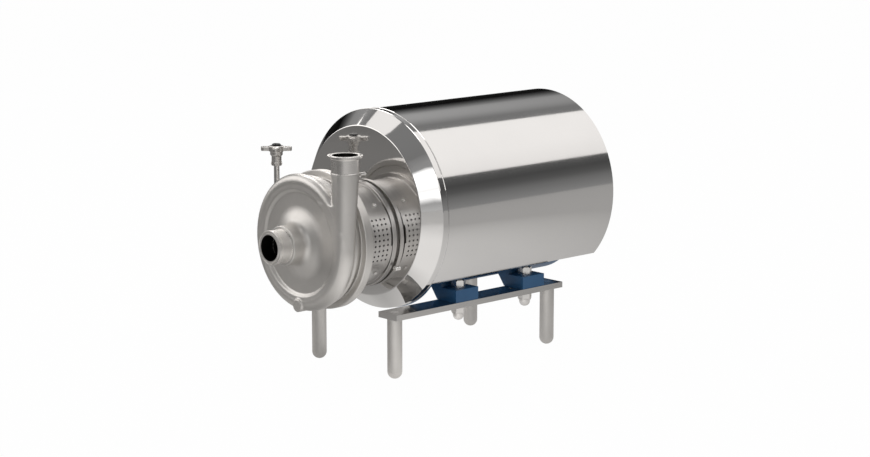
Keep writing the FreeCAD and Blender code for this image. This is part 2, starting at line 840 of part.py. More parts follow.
def slot_rays(name, x, depth, start, end, count, width):
    """Radial air slots about the shaft axis, as cutting blocks."""
    tools = []
    for i in range(count):
        degrees = 360.0 * i / count
        ray = DOC.addObject("Part::Box", "%s_%d" % (name, i))
        ray.Length = float(depth)
        ray.Width = width
        ray.Height = end - start
        bind(ray, "Length", depth)
        turn = Rotation(Vector(1, 0, 0), degrees)
        corner = turn.multVec(Vector(0, -width / 2, start))
        ray.Placement = Placement(Vector(float(x), corner.y, float(SHAFT_Z) + corner.z), turn)
        tools.append(ray)
    return tools


def make_terminal_box():
    """The terminal box on the motor, its lid and a blanked cable entry."""
    x = BARREL_START + 24
    z = SHAFT_Z + d.box_pad_height + d.seat_clearance
    y = -d.box_width / 2
    blank = block("box_blank", (d.box_length, d.box_width, d.box_height), x, y, z)
    hollow = block("box_hollow", (d.box_length - 8, d.box_width - 8, d.box_height), x + 4, y + 4, z + 4)
    entry = rod("box_entry", 12.6, 20, x + d.box_length / 2, d.box_width / 2 - 10, z + d.box_height / 2,
                Vector(0, 1, 0))
    subpart(carved("terminal_box", blank, [hollow, entry]), "terminal_box")
    subpart(block("terminal_lid", (d.box_length, d.box_width, d.lid_height), x, y,
                  z + d.box_height + d.seat_clearance), "terminal_lid")
    cap = rod("entry_cap", 15.5, 7, x + d.box_length / 2, d.box_width / 2 + d.seat_clearance,
              z + d.box_height / 2, Vector(0, 1, 0))
    stem = rod("entry_stem", 12.5, 8, x + d.box_length / 2, d.box_width / 2 - 7, z + d.box_height / 2,
               Vector(0, 1, 0))
    subpart(joined("entry_plug", [cap, stem]), "entry_plug")


def make_ferrules():
    """The clamp ferrules of the suction and discharge ports."""
    groove_in = d.port_bore + 2.7
    groove_out = d.ferrule_radius - 2.0
    subpart(turned("suction_ferrule", [
        (0, d.port_bore),
        (0, groove_in),
        (1.4, groove_in + 0.8),
        (1.4, groove_out - 0.8),
        (0, groove_out),
        (0, d.ferrule_radius, 0.5),
        (3.4, d.ferrule_radius),
        (6.2, d.band_radius - 1.8),
        (8.4, d.band_radius - 1.8),
        (9.0, d.band_radius),
        (d.ferrule_length, d.band_radius),
        (d.ferrule_length, d.port_bore),
    ], PARTING - d.suction_reach, 0, SHAFT_Z), "suction_ferrule")
    top = d.outlet_length
    subpart(turned("discharge_ferrule", [
        (d.port_bore, 0),
        (d.tube_radius, 0),
        (d.tube_radius, top - 6.4, 1.2),
        (d.ferrule_radius, top - 3.6),
        (d.ferrule_radius, top, 0.5),
        (groove_out, top),
        (groove_out - 0.8, top - 1.4),
        (groove_in + 0.8, top - 1.4),
        (groove_in, top),
        (d.port_bore, top),
    ], PARTING - d.volute_front + d.tube_radius, -d.outlet_offset, SHAFT_Z + d.weld_height,
        upright=True), "discharge_ferrule")


def turned_shape(corners, x, z):
    """A plain revolved solid about the shaft line, for the forms that are worked out in code."""
    points = [Vector(float(c[0]), float(c[1]), 0) for c in corners]
    count = len(points)
    edges = []
    ends = []
    for i, corner in enumerate(corners):
        if len(corner) == 3:
            arc, first, last, _ = corner_arc(points[i], points[i - 1], points[(i + 1) % count],
                                             float(corner[2]))
            ends.append((first, last, arc))
        else:
            ends.append((points[i], points[i], None))
    for i in range(count):
        if ends[i][2] is not None:
            edges.append(ends[i][2].toShape())
        start = ends[i][1]
        end = ends[(i + 1) % count][0]
        if start.distanceToPoint(end) > 1e-4:
            edges.append(Part.LineSegment(start, end).toShape())
    face = Part.Face(Part.Wire(Part.__sortEdges__(edges)))
    face.rotate(Vector(), Vector(1, 0, 0), 90)
    solid = face.revolve(Vector(), Vector(1, 0, 0), 360)
    solid.translate(Vector(float(x), 0, float(z)))
    return solid


def volute_circle(degrees, inset):
    """The channel's round section at one angle of the volute, drawn in by an inset."""
    share = degrees / 360.0
    radius = float(d.volute_start) + (float(d.volute_end) - float(d.volute_start)) * share
    y, z = on_circle(float(d.volute_reach) - radius, degrees)
    angle = math.radians(degrees)
    flow = Vector(0, math.sin(angle), math.cos(angle))
    return Part.Wire(Part.makeCircle(radius - inset, Vector(radius - float(d.volute_front), y, z), flow))


def volute_channel(first, inset):
    """The growing channel from a start angle round to the outlet."""
    steps = 12
    angles = [first + (360.0 - first) * i / steps for i in range(steps + 1)]
    return Part.makeLoft([volute_circle(a, inset) for a in angles], True, False)


def outlet_cone(inset, inset_top):
    """The tapering outlet, from a little inside the end of the volute up to the weld line."""
    upwards = Vector(0, 0, 1)
    bottom = Vector(float(d.volute_end - d.volute_front), -float(d.volute_reach - d.volute_end),
                    -float(d.outlet_overlap))
    top = Vector(float(d.tube_radius - d.volute_front), -float(d.outlet_offset), float(d.weld_height))
    lower_radius = float(d.volute_end - d.outlet_shrink) - inset
    lower = Part.Wire(Part.makeCircle(lower_radius, bottom, upwards))
    upper = Part.Wire(Part.makeCircle(float(d.tube_radius) - inset_top, top, upwards))
    return Part.makeLoft([lower, upper], True, False)


def casing_shape():
    """The pump casing, made round the parting plane and the shaft axis and placed as a whole.

    It has a belled front with a raised rim, a spiral channel, a tapering outlet and a clamp flange.
    """
    face = d.casing_face
    root = d.clamp_flange_rim + d.clamp_flange_taper
    neck_end = d.suction_reach - d.ferrule_length
    skin = turned_shape([
        (-neck_end, 0),
        (-neck_end, d.neck_radius, 1.2),
        (-face - d.bell_depth, d.neck_radius, d.bell_fillet),
        (-face, d.dome_radius, d.bell_foot_fillet),
        (-face, d.rim_ring_inner, d.rim_ring_fillet),
        (-d.rim_ring_front, d.rim_ring_inner + d.rim_ring_slope, d.rim_ring_fillet),
        (-d.rim_ring_front, d.casing_radius, 2 * d.rim_ring_fillet),
        (-d.casing_back, d.casing_radius, 3),
        (-d.casing_back, d.clamp_flange_root - 3, 2),
        (-root, d.clamp_flange_root - 3),
        (-root, d.clamp_flange_root),
        (-d.clamp_flange_rim, d.clamp_flange_radius),
        (0, d.clamp_flange_radius),
        (0, 0),
    ], 0, 0)
    axis = Vector(1, 0, 0)
    web_x = float(d.web_setback - d.volute_front)
    web_y = float(d.volute_reach - d.volute_end)
    web = Part.makeBox(float(-d.casing_back) - web_x, web_y - float(d.web_inner_reach),
                       float(d.shoulder_height), Vector(web_x, -web_y, 0))
    crease = Part.makeCylinder(float(d.crease_radius), float(-face) - web_x, Vector(web_x, 0, 0), axis)
    web = web.cut(crease)
    boss_start = Vector(-float(d.volute_front + d.boss_proud), 0, -float(d.boss_drop))
    boss = Part.makeCylinder(float(d.boss_radius), float(d.boss_length), boss_start, axis)
    casing = skin.multiFuse([volute_channel(8.0, 0.0), outlet_cone(0.0, 0.0), web, boss])
    cavity = turned_shape([
        (-neck_end, 0),
        (-neck_end, d.port_bore),
        (-face - 2, d.port_bore, 6),
        (-face + 4, d.dome_radius - 24, 6),
        (-face + 4, d.cavity_radius, 5),
        (0, d.cavity_radius),
        (0, 0),
    ], 0, 0)
    inset = float(d.casing_wall)
    inner_cone = outlet_cone(inset, float(d.tube_radius - d.port_bore))
    cavity = cavity.multiFuse([volute_channel(40.0, inset), inner_cone])
    return casing.cut(cavity)


def make_back_plate():
    """The plate that closes the casing, its sealing ring, and the seal around the shaft."""
    groove = 3.3
    spigot = d.cavity_radius - d.body_clearance
    plate = turned("plate_blank", [
        (-d.plate_spigot, d.seat_radius + d.seat_clearance),
        (-d.plate_spigot, spigot, 1.5),
        (d.seat_clearance, spigot),
        (d.seat_clearance, spigot + 2.2),
        (groove, spigot + 2.2),
        (groove, spigot + 7.2),
        (d.seat_clearance, spigot + 7.2),
        (d.seat_clearance, d.clamp_flange_radius),
        (d.clamp_flange_rim, d.clamp_flange_radius),
        (d.clamp_flange_rim + d.clamp_flange_taper, d.clamp_flange_root),
        (d.plate_back, d.clamp_flange_root - 1),
        (d.plate_back, 72),
        (-3, 66, 3),
        (-3, 46, 3),
        (14, 42, 2),
        (14, d.seal_bore),
        (0.1 - d.plate_spigot + d.seat_thick, d.seal_bore),
        (0.1 - d.plate_spigot + d.seat_thick, d.seat_radius + d.seat_clearance),
    ], PARTING, 0, SHAFT_Z)
    holes = []
    for i, (y, z) in enumerate(plate_screw_spots()):
        holes.append(rod("plate_hole_%d" % i, d.plate_screw_radius + d.seat_clearance, 14,
                         PARTING + d.plate_back - 12, y, SHAFT_Z + z, Vector(1, 0, 0)))
    subpart(carved("back_plate", plate, holes), "back_plate")
    subpart(turned("casing_seal_ring", [
        (d.seat_clearance, spigot + 3.2),
        (d.seat_clearance, spigot + 6.2),
        (1.1, spigot + 7.0),
        (groove - d.seat_clearance, spigot + 7.0),
        (groove - d.seat_clearance, spigot + 2.4),
        (1.1, spigot + 2.4),
    ], PARTING, 0, SHAFT_Z), "casing_seal_ring")
    front = -d.plate_spigot
    subpart(turned("seal_seat", [
        (0, d.seal_shaft_radius + 3),
        (0, d.seat_radius, 0.6),
        (d.seat_thick, d.seat_radius),
        (d.seat_thick, d.seal_shaft_radius + 3),
    ], PARTING + front, 0, SHAFT_Z), "seal_seat")
    bore = d.seal_shaft_radius + d.seat_clearance
    face_x = PARTING + front - d.seat_clearance - d.seal_face_length
    subpart(turned("seal_face", [
        (0, bore),
        (0, d.seat_radius - 3),
        (d.seal_face_length - 2, d.seat_radius - 3),
        (d.seal_face_length, d.seat_radius - 5),
        (d.seal_face_length, bore),
    ], face_x, 0, SHAFT_Z), "seal_face")
    subpart(turned("seal_drive_ring", [
        (0, bore),
        (0, d.seat_radius - 2, 0.8),
        (d.drive_ring_length, d.seat_radius - 2, 0.8),
        (d.drive_ring_length, bore),
    ], face_x - d.drive_ring_length - d.seat_clearance, 0, SHAFT_Z), "seal_drive_ring")


def plate_screw_spots():
    """Return (y, z) from the shaft axis of the four screws between lantern and back plate."""
    return [on_circle(float(d.plate_screw_circle), 45 + 90 * i) for i in range(4)]


def blade_face(x, z):
    """One curved blade in plan: two arcs that lean away from the direction of rotation."""
    inner = 27.0
    outer = float(d.impeller_radius) + 2
    half = float(d.blade_thick) / 2
    sweep = 52.0
    sides = []
    for offset in (-half, half):
        points = []
        for share in (0.0, 0.5, 1.0):
            radius = inner + (outer - inner) * share
            angle = sweep * share ** 0.8 + math.degrees(offset / radius)
            y, height = on_circle(radius, angle, z)
            points.append(Vector(x, y, height))
        sides.append(points)
    first = Part.Arc(*sides[0]).toShape()
    second = Part.Arc(*sides[1]).toShape()
    ends = [Part.LineSegment(sides[0][k], sides[1][k]).toShape() for k in (0, 2)]
    return Part.Face(Part.Wire(Part.__sortEdges__([first, ends[1], second, ends[0]])))


def impeller_shape():
    """An open impeller: hub, back disc and swept blades under a tapering envelope."""
    back = d.plate_spigot + 4.5
    disc = back + 3.5
    nose = disc + d.blade_height - 2
    seal_end = d.plate_spigot + d.seal_face_length + d.drive_ring_length + 3 * d.seat_clearance
    hub_bore = d.impeller_seat_radius + d.fit_clearance
    hub = turned_shape([
        (-back, d.seat_radius + 4),
        (-back, d.impeller_radius),
        (-disc, d.impeller_radius, 0.8),
        (-disc - 2, d.seat_radius + 10, 8),
        (-seal_end - 14, d.impeller_seat_radius + 7, 4),
        (-seal_end - 14, hub_bore),
        (-seal_end, hub_bore),
        (-seal_end, d.seat_radius + 1),
    ], PARTING, SHAFT_Z)
    envelope = turned_shape([
        (-disc + 1, 20),
        (-disc + 1, d.impeller_radius),
        (-nose + 4, d.impeller_radius),
        (-nose - 2, 34, 6),
        (-nose + 6, 20),
    ], PARTING, SHAFT_Z)
    x = float(PARTING - nose) - 6
    z = float(SHAFT_Z)
    blank = blade_face(x, z).extrude(Vector(float(d.blade_height) + 12, 0, 0))
    count = int(float(d.blade_count))
    blades = []
    for i in range(count):
        blade = blank.copy()
        blade.rotate(Vector(x, 0, z), Vector(1, 0, 0), 360.0 * i / count)
        blades.append(blade.common(envelope))
    recess = Part.makeCylinder(float(d.seat_radius) + 1, float(seal_end),
                               Vector(float(PARTING - seal_end), 0, z), Vector(1, 0, 0))
    return hub.multiFuse(blades).cut(recess).removeSplitter()


def make_pump_shaft():
    """The stub shaft clamped on the motor shaft, and the nut that holds the impeller."""
    tip = d.plate_spigot + d.seal_face_length + d.drive_ring_length + 3 * d.seat_clearance
    socket = d.adapter_length - d.shaft_reach - 1
    end = d.adapter_length - 20
    bore = d.shaft_radius + d.fit_clearance
    stub = turned("stub_blank", [
        (-tip - 28, 0),
        (-tip - 28, 8),
        (-tip - 14.2, 8),
        (-tip - 14.2, d.impeller_seat_radius),
        (-tip, d.impeller_seat_radius),
        (-tip, d.seal_shaft_radius),
        (16, d.seal_shaft_radius),
        (30, d.shaft_radius + 5),
        (socket - 8, d.shaft_radius + 5),
        (socket, d.shaft_radius + 11),
        (end, d.shaft_radius + 11),
        (end, bore),
        (socket, bore),
        (socket, 0),
    ], PARTING, 0, SHAFT_Z)
    slot = block("stub_key_slot", (53, 10 + 2 * d.fit_clearance, 9), FLANGE - d.shaft_reach + 4,
                 -5 - d.fit_clearance, SHAFT_Z + d.shaft_radius - 5)
    subpart(carved("stub_shaft", stub, [slot]), "stub_shaft")
    subpart(turned("impeller_nut", [
        (-tip - 32, 0),
        (-tip - 32, 13, 9),
        (-tip - 14.2, 17),
        (-tip - 14.2, 8 + d.fit_clearance),
        (-tip - 28.1, 8 + d.fit_clearance),
        (-tip - 28.1, 0),
    ], PARTING, 0, SHAFT_Z), "impeller_nut")
    collar = d.shaft_radius + 11 + d.fit_clearance
    subpart(turned("shaft_clamp", [
        (0, collar),
        (0, collar + 13, 1),
        (20, collar + 13, 1),
        (20, collar),
    ], PARTING + end - 24, 0, SHAFT_Z), "shaft_clamp")
    subpart(turned("slinger_ring", [
        (0, d.shaft_radius + d.seat_clearance),
        (0, d.shaft_radius + 14, 1),
        (3, d.shaft_radius + 14, 1),
        (6, d.shaft_radius + 5),
        (9, d.shaft_radius + 5),
        (9, d.shaft_radius + d.seat_clearance),
    ], FLANGE - 15, 0, SHAFT_Z), "slinger_ring")


def make_clamp():
    """The split V-ring with its two lugs, the cross nut and the thrust washer."""
    half = d.clamp_width / 2
    slack = d.seat_clearance
    rim = d.clamp_flange_rim + slack
    mouth = d.clamp_flange_rim + d.clamp_flange_taper + slack
    ring = turned("clamp_blank", [
        (-half, d.clamp_inner),
        (-half, d.clamp_radius, 2),
        (half, d.clamp_radius, 2),
        (half, d.clamp_inner),
        (mouth, d.clamp_inner),
        (rim, d.clamp_flange_radius + d.body_clearance),
        (-rim, d.clamp_flange_radius + d.body_clearance),
        (-mouth, d.clamp_inner),
    ], PARTING, 0, SHAFT_Z)
    y = d.screw_offset
    gap = d.clamp_gap / 2
    reach = 2 * d.lug_half_width
    inner = d.screw_offset - d.lug_half_width
    upper = block("upper_lug", (d.clamp_width, reach, d.upper_lug_height), PARTING - half, inner,
                  SHAFT_Z + gap)
    lower = block("lower_lug", (d.clamp_width, reach, d.lower_lug_height), PARTING - half, inner,
                  SHAFT_Z - gap - d.lower_lug_height)
    split = block("clamp_split", (d.clamp_width, 40, d.clamp_gap), PARTING - half,
                  d.clamp_inner - 10, SHAFT_Z - gap)
    trunnion_z = SHAFT_Z - gap - d.lower_lug_height / 2
    passage = rod("screw_passage", d.screw_radius + d.body_clearance, 80, PARTING, y, SHAFT_Z - 40)
    seat = rod("trunnion_seat", d.trunnion_radius + d.seat_clearance, d.clamp_width, PARTING - half, y,
               trunnion_z, Vector(1, 0, 0))
    inside = rod("lug_relief", d.clamp_flange_radius + d.body_clearance, 2 * rim, PARTING - rim, 0,
                 SHAFT_Z, Vector(1, 0, 0))
    blank = joined("clamp_solid", [ring, upper, lower])
    subpart(carved("clamp_ring", blank, [split, passage, seat, inside]), "clamp_ring")
    nut = rod("trunnion_blank", d.trunnion_radius, d.clamp_width + 6, PARTING - half - 3, y, trunnion_z,
              Vector(1, 0, 0))
    thread = rod("trunnion_thread", d.thread_radius + d.thread_clearance, 40, PARTING, y, trunnion_z - 20)
    subpart(carved("clamp_trunnion", nut, [thread]), "clamp_trunnion")
    washer_z = SHAFT_Z + gap + d.upper_lug_height + d.body_clearance
    subpart(turned("thrust_washer", [
        (d.screw_radius + d.body_clearance, 0),
        (d.collar_radius + 1, 0),
        (d.collar_radius + 1, 2.5),
        (d.screw_radius + d.body_clearance, 2.5),
    ], PARTING, y, washer_z, upright=True), "thrust_washer")
    return washer_z + 2.5 + d.body_clearance


def make_clamp_screw(collar_z):
    """The long screw with its collar, the sleeve and its pin, the star knob and its cap."""
    y = d.screw_offset
    bottom = SHAFT_Z - d.screw_tail
    thread_end = d.screw_tail - d.clamp_gap / 2
    collar = collar_z - bottom
    subpart(turned("clamp_screw", [
        (0, 0),
        (d.thread_radius - 1, 0),
        (d.thread_radius, 1),
        (d.thread_radius, thread_end),
        (d.screw_radius, thread_end),
        (d.screw_radius, collar),
        (d.collar_radius, collar),
        (d.collar_radius, collar + d.collar_height, 1.5),
        (d.screw_radius, collar + d.collar_height),
        (d.screw_radius, d.screw_top + d.screw_tail + d.knob_collar_height),
        (0, d.screw_top + d.screw_tail + d.knob_collar_height),
    ], PARTING, y, bottom, upright=True), "clamp_screw")
    bore = d.screw_radius + d.fit_clearance
    sleeve_z = SHAFT_Z + d.sleeve_bottom
    pin_z = sleeve_z + 4.5
    pin_radius = 2.5
    sleeve = turned("sleeve_blank", [
        (bore, 0),
        (d.sleeve_radius, 0, 0.8),
        (d.sleeve_radius, d.sleeve_height),
        (bore, d.sleeve_height),
    ], PARTING, y, sleeve_z, upright=True)
    pin_hole = rod("sleeve_pin_hole", pin_radius + d.fit_clearance, 30, PARTING - 15, y, pin_z,
                   Vector(1, 0, 0))
    subpart(carved("knob_sleeve", sleeve, [pin_hole]), "knob_sleeve")
    pins = []
    for name, start in (("front", PARTING - d.sleeve_radius - 0.5), ("rear", PARTING + bore)):
        pins.append(rod("pin_" + name, pin_radius, d.sleeve_radius + 0.5 - bore, start, y, pin_z,
                        Vector(1, 0, 0)))
    subpart(gathered("sleeve_pins", pins), "sleeve_pins")
    subpart(shaped("star_knob", knob_shape()), "star_knob")
    top = SHAFT_Z + d.screw_top + d.knob_collar_height + d.knob_arm_height
    subpart(turned("knob_cap", [
        (0, 0),
        (d.knob_cap_radius, 0),
        (d.knob_cap_radius, d.knob_cap_height, 2.8),
        (0, d.knob_cap_height),
    ], PARTING, y, top + d.seat_clearance, upright=True), "knob_cap")


def knob_shape():
    """A five-armed hand knob: collar, hub and rounded arms that droop a little to their ends."""
    x = float(PARTING)
    y = float(d.screw_offset)
    base = float(SHAFT_Z + d.screw_top)
    collar_height = float(d.knob_collar_height)
    arm_height = float(d.knob_arm_height)
    reach = float(d.knob_radius)
    collar = Part.makeCone(float(d.sleeve_radius) - 0.5, float(d.knob_collar_radius), collar_height,
                           Vector(x, y, base))
    hub = Part.makeCylinder(14, arm_height, Vector(x, y, base + collar_height))
    knob = collar.fuse(hub)
    count = int(float(d.knob_arms))
    tip = 6.0
    for i in range(count):
        stem = Part.makeBox(reach - tip, 2 * tip, arm_height - 2,
                            Vector(x, y - tip, base + collar_height + 0.5))
        end = Part.makeCylinder(tip, arm_height - 2, Vector(x + reach - tip, y, base + collar_height + 0.5))
        arm = stem.fuse(end)
        arm.rotate(Vector(x, y, 0), Vector(0, 0, 1), 360.0 * i / count + 20)
        knob = knob.fuse(arm)
    bore = Part.makeCylinder(float(d.screw_radius + d.fit_clearance), collar_height, Vector(x, y, base))
    return knob.cut(bore).removeSplitter()


def make_adapter():
    """The lantern between pump and motor, with an open window on each side."""
    inner = d.adapter_radius - d.adapter_wall
    front = d.plate_back + d.seat_clearance
    shoulder = d.rim_start + d.rim_width + d.hood_gap + d.shroud_sheet
    back = d.adapter_length
    blank = turned("adapter_blank", [
        (front, 72),
        (front, d.front_ring_radius),
        (front + 7, d.front_ring_radius, 1),
        (front + 7, d.adapter_radius, 2),
        (d.rim_start, d.adapter_radius, 1.5),
        (d.rim_start, d.rim_radius, 1),
        (d.rim_start + d.rim_width, d.rim_radius, 1),
        (d.rim_start + d.rim_width, d.adapter_radius, 1),
        (shoulder, d.adapter_radius),
        (shoulder, d.hood_screw_circle + 7),
        (shoulder + 11, d.hood_screw_circle + 7),
        (shoulder + 11, d.adapter_radius + 8, 4),
        (back - d.adapter_flange_thick, d.spigot_radius + 3, 4),
        (back - d.adapter_flange_thick, d.adapter_flange_radius, 1),
        (back, d.adapter_flange_radius, 1),
        (back, d.spigot_radius + d.seat_clearance),
        (back - d.spigot_height - d.seat_clearance, d.spigot_radius + d.seat_clearance),
        (back - d.spigot_height - d.seat_clearance, d.spigot_radius - 12),
        (back - 36, inner, 8),
        (front + 10, inner, 1.5),
        (front + 10, 72),
    ], PARTING, 0, SHAFT_Z)
    tools = [block("window_cut", (d.window_length, 240, d.window_up + d.window_down),
                   PARTING + d.window_start, -120, SHAFT_Z - d.window_down)]
    for i, (y, z) in enumerate(plate_screw_spots()):
        tools.append(rod("adapter_screw_hole_%d" % i, d.plate_screw_radius + 0.5, 12,
                         PARTING + d.plate_back, y, SHAFT_Z + z, Vector(1, 0, 0)))
    for i in range(4):
        y, z = on_circle(float(d.flange_bolt_circle), 45 + 90 * i)
        tools.append(rod("adapter_flange_hole_%d" % i, d.flange_bolt_radius + d.bolt_clearance,
                         d.adapter_flange_thick, FLANGE - d.adapter_flange_thick, y, SHAFT_Z + z,
                         Vector(1, 0, 0)))
    for i, (y, z) in enumerate(hood_screw_spots()):
        tools.append(rod("adapter_hood_hole_%d" % i, 2.5 + d.seat_clearance, 9, PARTING + shoulder, y,
                         SHAFT_Z + z, Vector(1, 0, 0)))
    for name, spot, direction in guard_screw_spots():
        start = spot - direction * 12
        tools.append(rod("adapter_guard_hole_" + name, 2 + d.seat_clearance, 14, start.x, start.y,
                         start.z, direction))
    subpart(carved("adapter", blank, tools), "adapter")
    make_adapter_screws(shoulder)


def hood_screw_spots():
    """Return (y, z) from the shaft axis of the three hood screws."""
    return [on_circle(float(d.hood_screw_circle), a) for a in (90.0, -30.0, 210.0)]


def guard_arc(radius):
    """Return the radius of a guard's bulging arc, and how far its centre stands off the shaft line."""
    rise = float(d.guard_bulge)
    half = math.radians((float(d.guard_high_angle) - float(d.guard_low_angle)) / 2)
    offset = rise * (2 * radius + rise) / (2 * (radius + rise - radius * math.cos(half)))
    return radius + rise - offset, offset


def guard_screw_spots():
    """Return the name, seat point and outward direction of each guard screw."""
    spots = []
    radius, offset = guard_arc(float(d.adapter_radius + d.guard_gap + d.guard_thick))
    middle = (float(d.guard_high_angle) + float(d.guard_low_angle)) / 2
    centre = on_circle(offset, middle, float(SHAFT_Z))
    for side, sign in SIDES:
        for end, degrees, along in (("top", 47.3, 60.0), ("bottom", -44.2, 58.0)):
            y, z = on_circle(radius, degrees)
            spot = Vector(float(PARTING) + along, (centre[0] + y) * -sign, centre[1] + z)
            direction = Vector(0, y * -sign, z).normalize()
            spots.append((side + "_" + end, spot, direction))
    return spots


def cap_screw(name, seat, direction, head_radius, head_height, radius, length):
    """A cap screw from the seat of its head: head outwards, shank inwards."""
    head = rod(name + "_head", head_radius, head_height, seat.x, seat.y, seat.z, direction)
    start = seat - direction * length
    shank = rod(name + "_shank", radius, length, start.x, start.y, start.z, direction)
    return joined(name, [head, shank])


def make_adapter_screws(shoulder):
    """Screws of the back plate, the hood and the guards, and the bolts of the motor flange."""
    x = float(PARTING)
    z0 = float(SHAFT_Z)
    inwards = Vector(1, 0, 0)
    plate = []
    seat = x + float(d.plate_back + d.seat_clearance) + 10
    for i, (y, z) in enumerate(plate_screw_spots()):
        plate.append(cap_screw("plate_screw_%d" % i, Vector(seat, y, z0 + z), inwards,
                               d.plate_screw_radius + 2, 6, d.plate_screw_radius, 21))
    subpart(gathered("plate_screws", plate), "plate_screws")
    hood = []
    seat = x + float(shoulder - d.shroud_sheet)
    for i, (y, z) in enumerate(hood_screw_spots()):
        hood.append(cap_screw("hood_screw_%d" % i, Vector(seat, y, z0 + z), -inwards, 4.25, 5, 2.5, 9))
    subpart(gathered("hood_screws", hood), "hood_screws")
    guard = []
    for name, spot, direction in guard_screw_spots():
        guard.append(cap_screw("guard_screw_" + name, spot, direction, 3.5, 3, 2, 8))
    subpart(gathered("guard_screws", guard), "guard_screws")
    bolts = []
    seat = float(FLANGE - d.adapter_flange_thick)
    grip = float(d.adapter_flange_thick + d.motor_flange_thick)
    radius = float(d.flange_bolt_radius)
    for i in range(4):
        y, z = on_circle(float(d.flange_bolt_circle), 45 + 90 * i)
        head = hexagon("flange_head_%d" % i, d.flange_nut_radius, 8, seat - 8, y, z0 + z, inwards)
        shank = rod("flange_shank_%d" % i, radius, grip + 20, seat, y, z0 + z, inwards)
        bolts.append(joined("flange_bolt_%d" % i, [head, shank]))
        nut = hexagon("flange_nut_blank_%d" % i, d.flange_nut_radius, d.flange_nut_height, seat + grip,
                      y, z0 + z, inwards)
        bore = rod("flange_nut_bore_%d" % i, radius + d.fit_clearance, d.flange_nut_height,
                   seat + grip, y, z0 + z, inwards)
        bolts.append(carved("flange_nut_%d" % i, nut, [bore]))
    subpart(gathered("flange_bolts", bolts), "flange_bolts")


def guard_shape(sign):
    """A perforated sheet bent over one window of the lantern."""
    x = float(PARTING + d.guard_start)
    z = float(SHAFT_Z)
    length = float(d.guard_length)
    inner = float(d.adapter_radius + d.guard_gap)
    outer = inner + float(d.guard_thick)
    low = float(d.guard_low_angle)
    high = float(d.guard_high_angle)
    section = []
    bulge = float(d.guard_bulge)
    for radius in (inner, outer):
        points = [Vector(x, *on_circle(radius + rise, a, z))
                  for a, rise in ((low, 0), ((low + high) / 2, bulge), (high, 0))]
        section.append(points)
    edges = [Part.Arc(*section[0]).toShape(), Part.Arc(*section[1]).toShape()]
    for k in (0, 2):
        edges.append(Part.LineSegment(section[0][k], section[1][k]).toShape())
    sheet = Part.Face(Part.Wire(Part.__sortEdges__(edges))).extrude(Vector(length, 0, 0))
    holes = []
    middle = 2.0
    for row in range(-4, 5):
        degrees = middle + row * float(d.guard_row_angle)
        y, height = on_circle(inner - 1, degrees, z)
        direction = Vector(0, *on_circle(1.0, degrees))
        for column in range(5):
            along = float(PARTING + d.guard_hole_first) + column * float(d.guard_hole_pitch)
            holes.append(Part.makeCylinder(float(d.guard_hole_radius), 8, Vector(along, y, height),
                                           direction))
    for name, spot, direction in guard_screw_spots():
        if name.startswith("near"):
            holes.append(Part.makeCylinder(2.1, 4, spot - direction * 3, direction))
    notch = Part.makeBox(4, 20, 34, Vector(x + length - 3, -110, z - 9))
    sheet = sheet.cut(Part.makeCompound(holes)).cut(notch)
    if sign > 0:
        sheet = sheet.mirror(Vector(), Vector(0, 1, 0))
    return sheet


def make_shroud():
    """The hood, the wrapped shell open below, and the vented rear cover with its posts."""
    sheet = d.shroud_sheet
    face = PARTING + d.rim_start + d.rim_width + d.hood_gap
    bend = d.hood_cone
    lip = bend + d.hood_lip
    inside = d.shroud_radius - sheet
    hood = turned("hood_blank", [
        (0, 0),
        (0, d.hood_face_radius),
        (bend, d.shroud_radius),
        (lip, d.shroud_radius),
        (lip, inside),
        (bend + sheet * 0.42, inside),
        (sheet, d.hood_face_radius - sheet * 0.42),
        (sheet, 0),
    ], face, 0, SHROUD_Z)
    tools = [rod("hood_hole", d.rim_radius + d.hood_hole_clearance, 10, face - 5, 0, SHAFT_Z,
                 Vector(1, 0, 0))]
    for i, (y, z) in enumerate(hood_screw_spots()):
        tools.append(rod("hood_screw_hole_%d" % i, 2.5 + d.seat_clearance, 10, face - 5, y, SHAFT_Z + z,
                         Vector(1, 0, 0)))
    subpart(carved("hood", hood, tools), "hood")
    shell_start = face + lip - d.shell_overlap
    outer = inside - d.shroud_clearance
    length = REAR - shell_start
    shell = turned("shell_blank", [
        (0, outer - sheet),
        (0, outer),
        (length, outer),
        (length, outer - sheet),
    ], shell_start, 0, SHROUD_Z)
    opening = block("shell_opening", (length, 2 * d.shroud_radius, d.shroud_radius), shell_start,
                    -d.shroud_radius, SHAFT_Z - d.shell_edge_drop - d.shroud_radius)
    subpart(carved("shroud_shell", shell, [opening]), "shroud_shell")
    rim = outer - sheet - d.shroud_clearance
    cover_x = REAR - d.cover_inset - sheet
    cover = turned("cover_blank", [
        (0, 0),
        (0, rim - sheet, 2),
        (-d.cover_lip, rim - sheet),
        (-d.cover_lip, rim),
        (sheet, rim, 3.2),
        (sheet, 0),
    ], cover_x, 0, SHROUD_Z)
    tools = slot_rays("cover_slot", cover_x - 2, sheet + 4, 34.0, 78.0, 24, 6.0)
    tools.append(block("cover_opening", (2 * d.cover_lip, 2 * d.shroud_radius, d.shroud_radius),
                       cover_x - 1.5 * d.cover_lip, -d.shroud_radius,
                       SHAFT_Z - d.shell_edge_drop - d.shroud_radius))
    for i, (y, z) in enumerate(cover_post_spots()):
        tools.append(rod("cover_hole_%d" % i, 3.2, 6, cover_x - 2, y, SHAFT_Z + z, Vector(1, 0, 0)))
    subpart(carved("rear_cover", cover, tools), "rear_cover")
    make_cover_posts(cover_x, sheet)


def cover_post_spots():
    """Return (y, z) from the shaft axis of the three posts of the rear cover."""
    return [on_circle(112.0, a) for a in (90.0, -30.0, 210.0)]


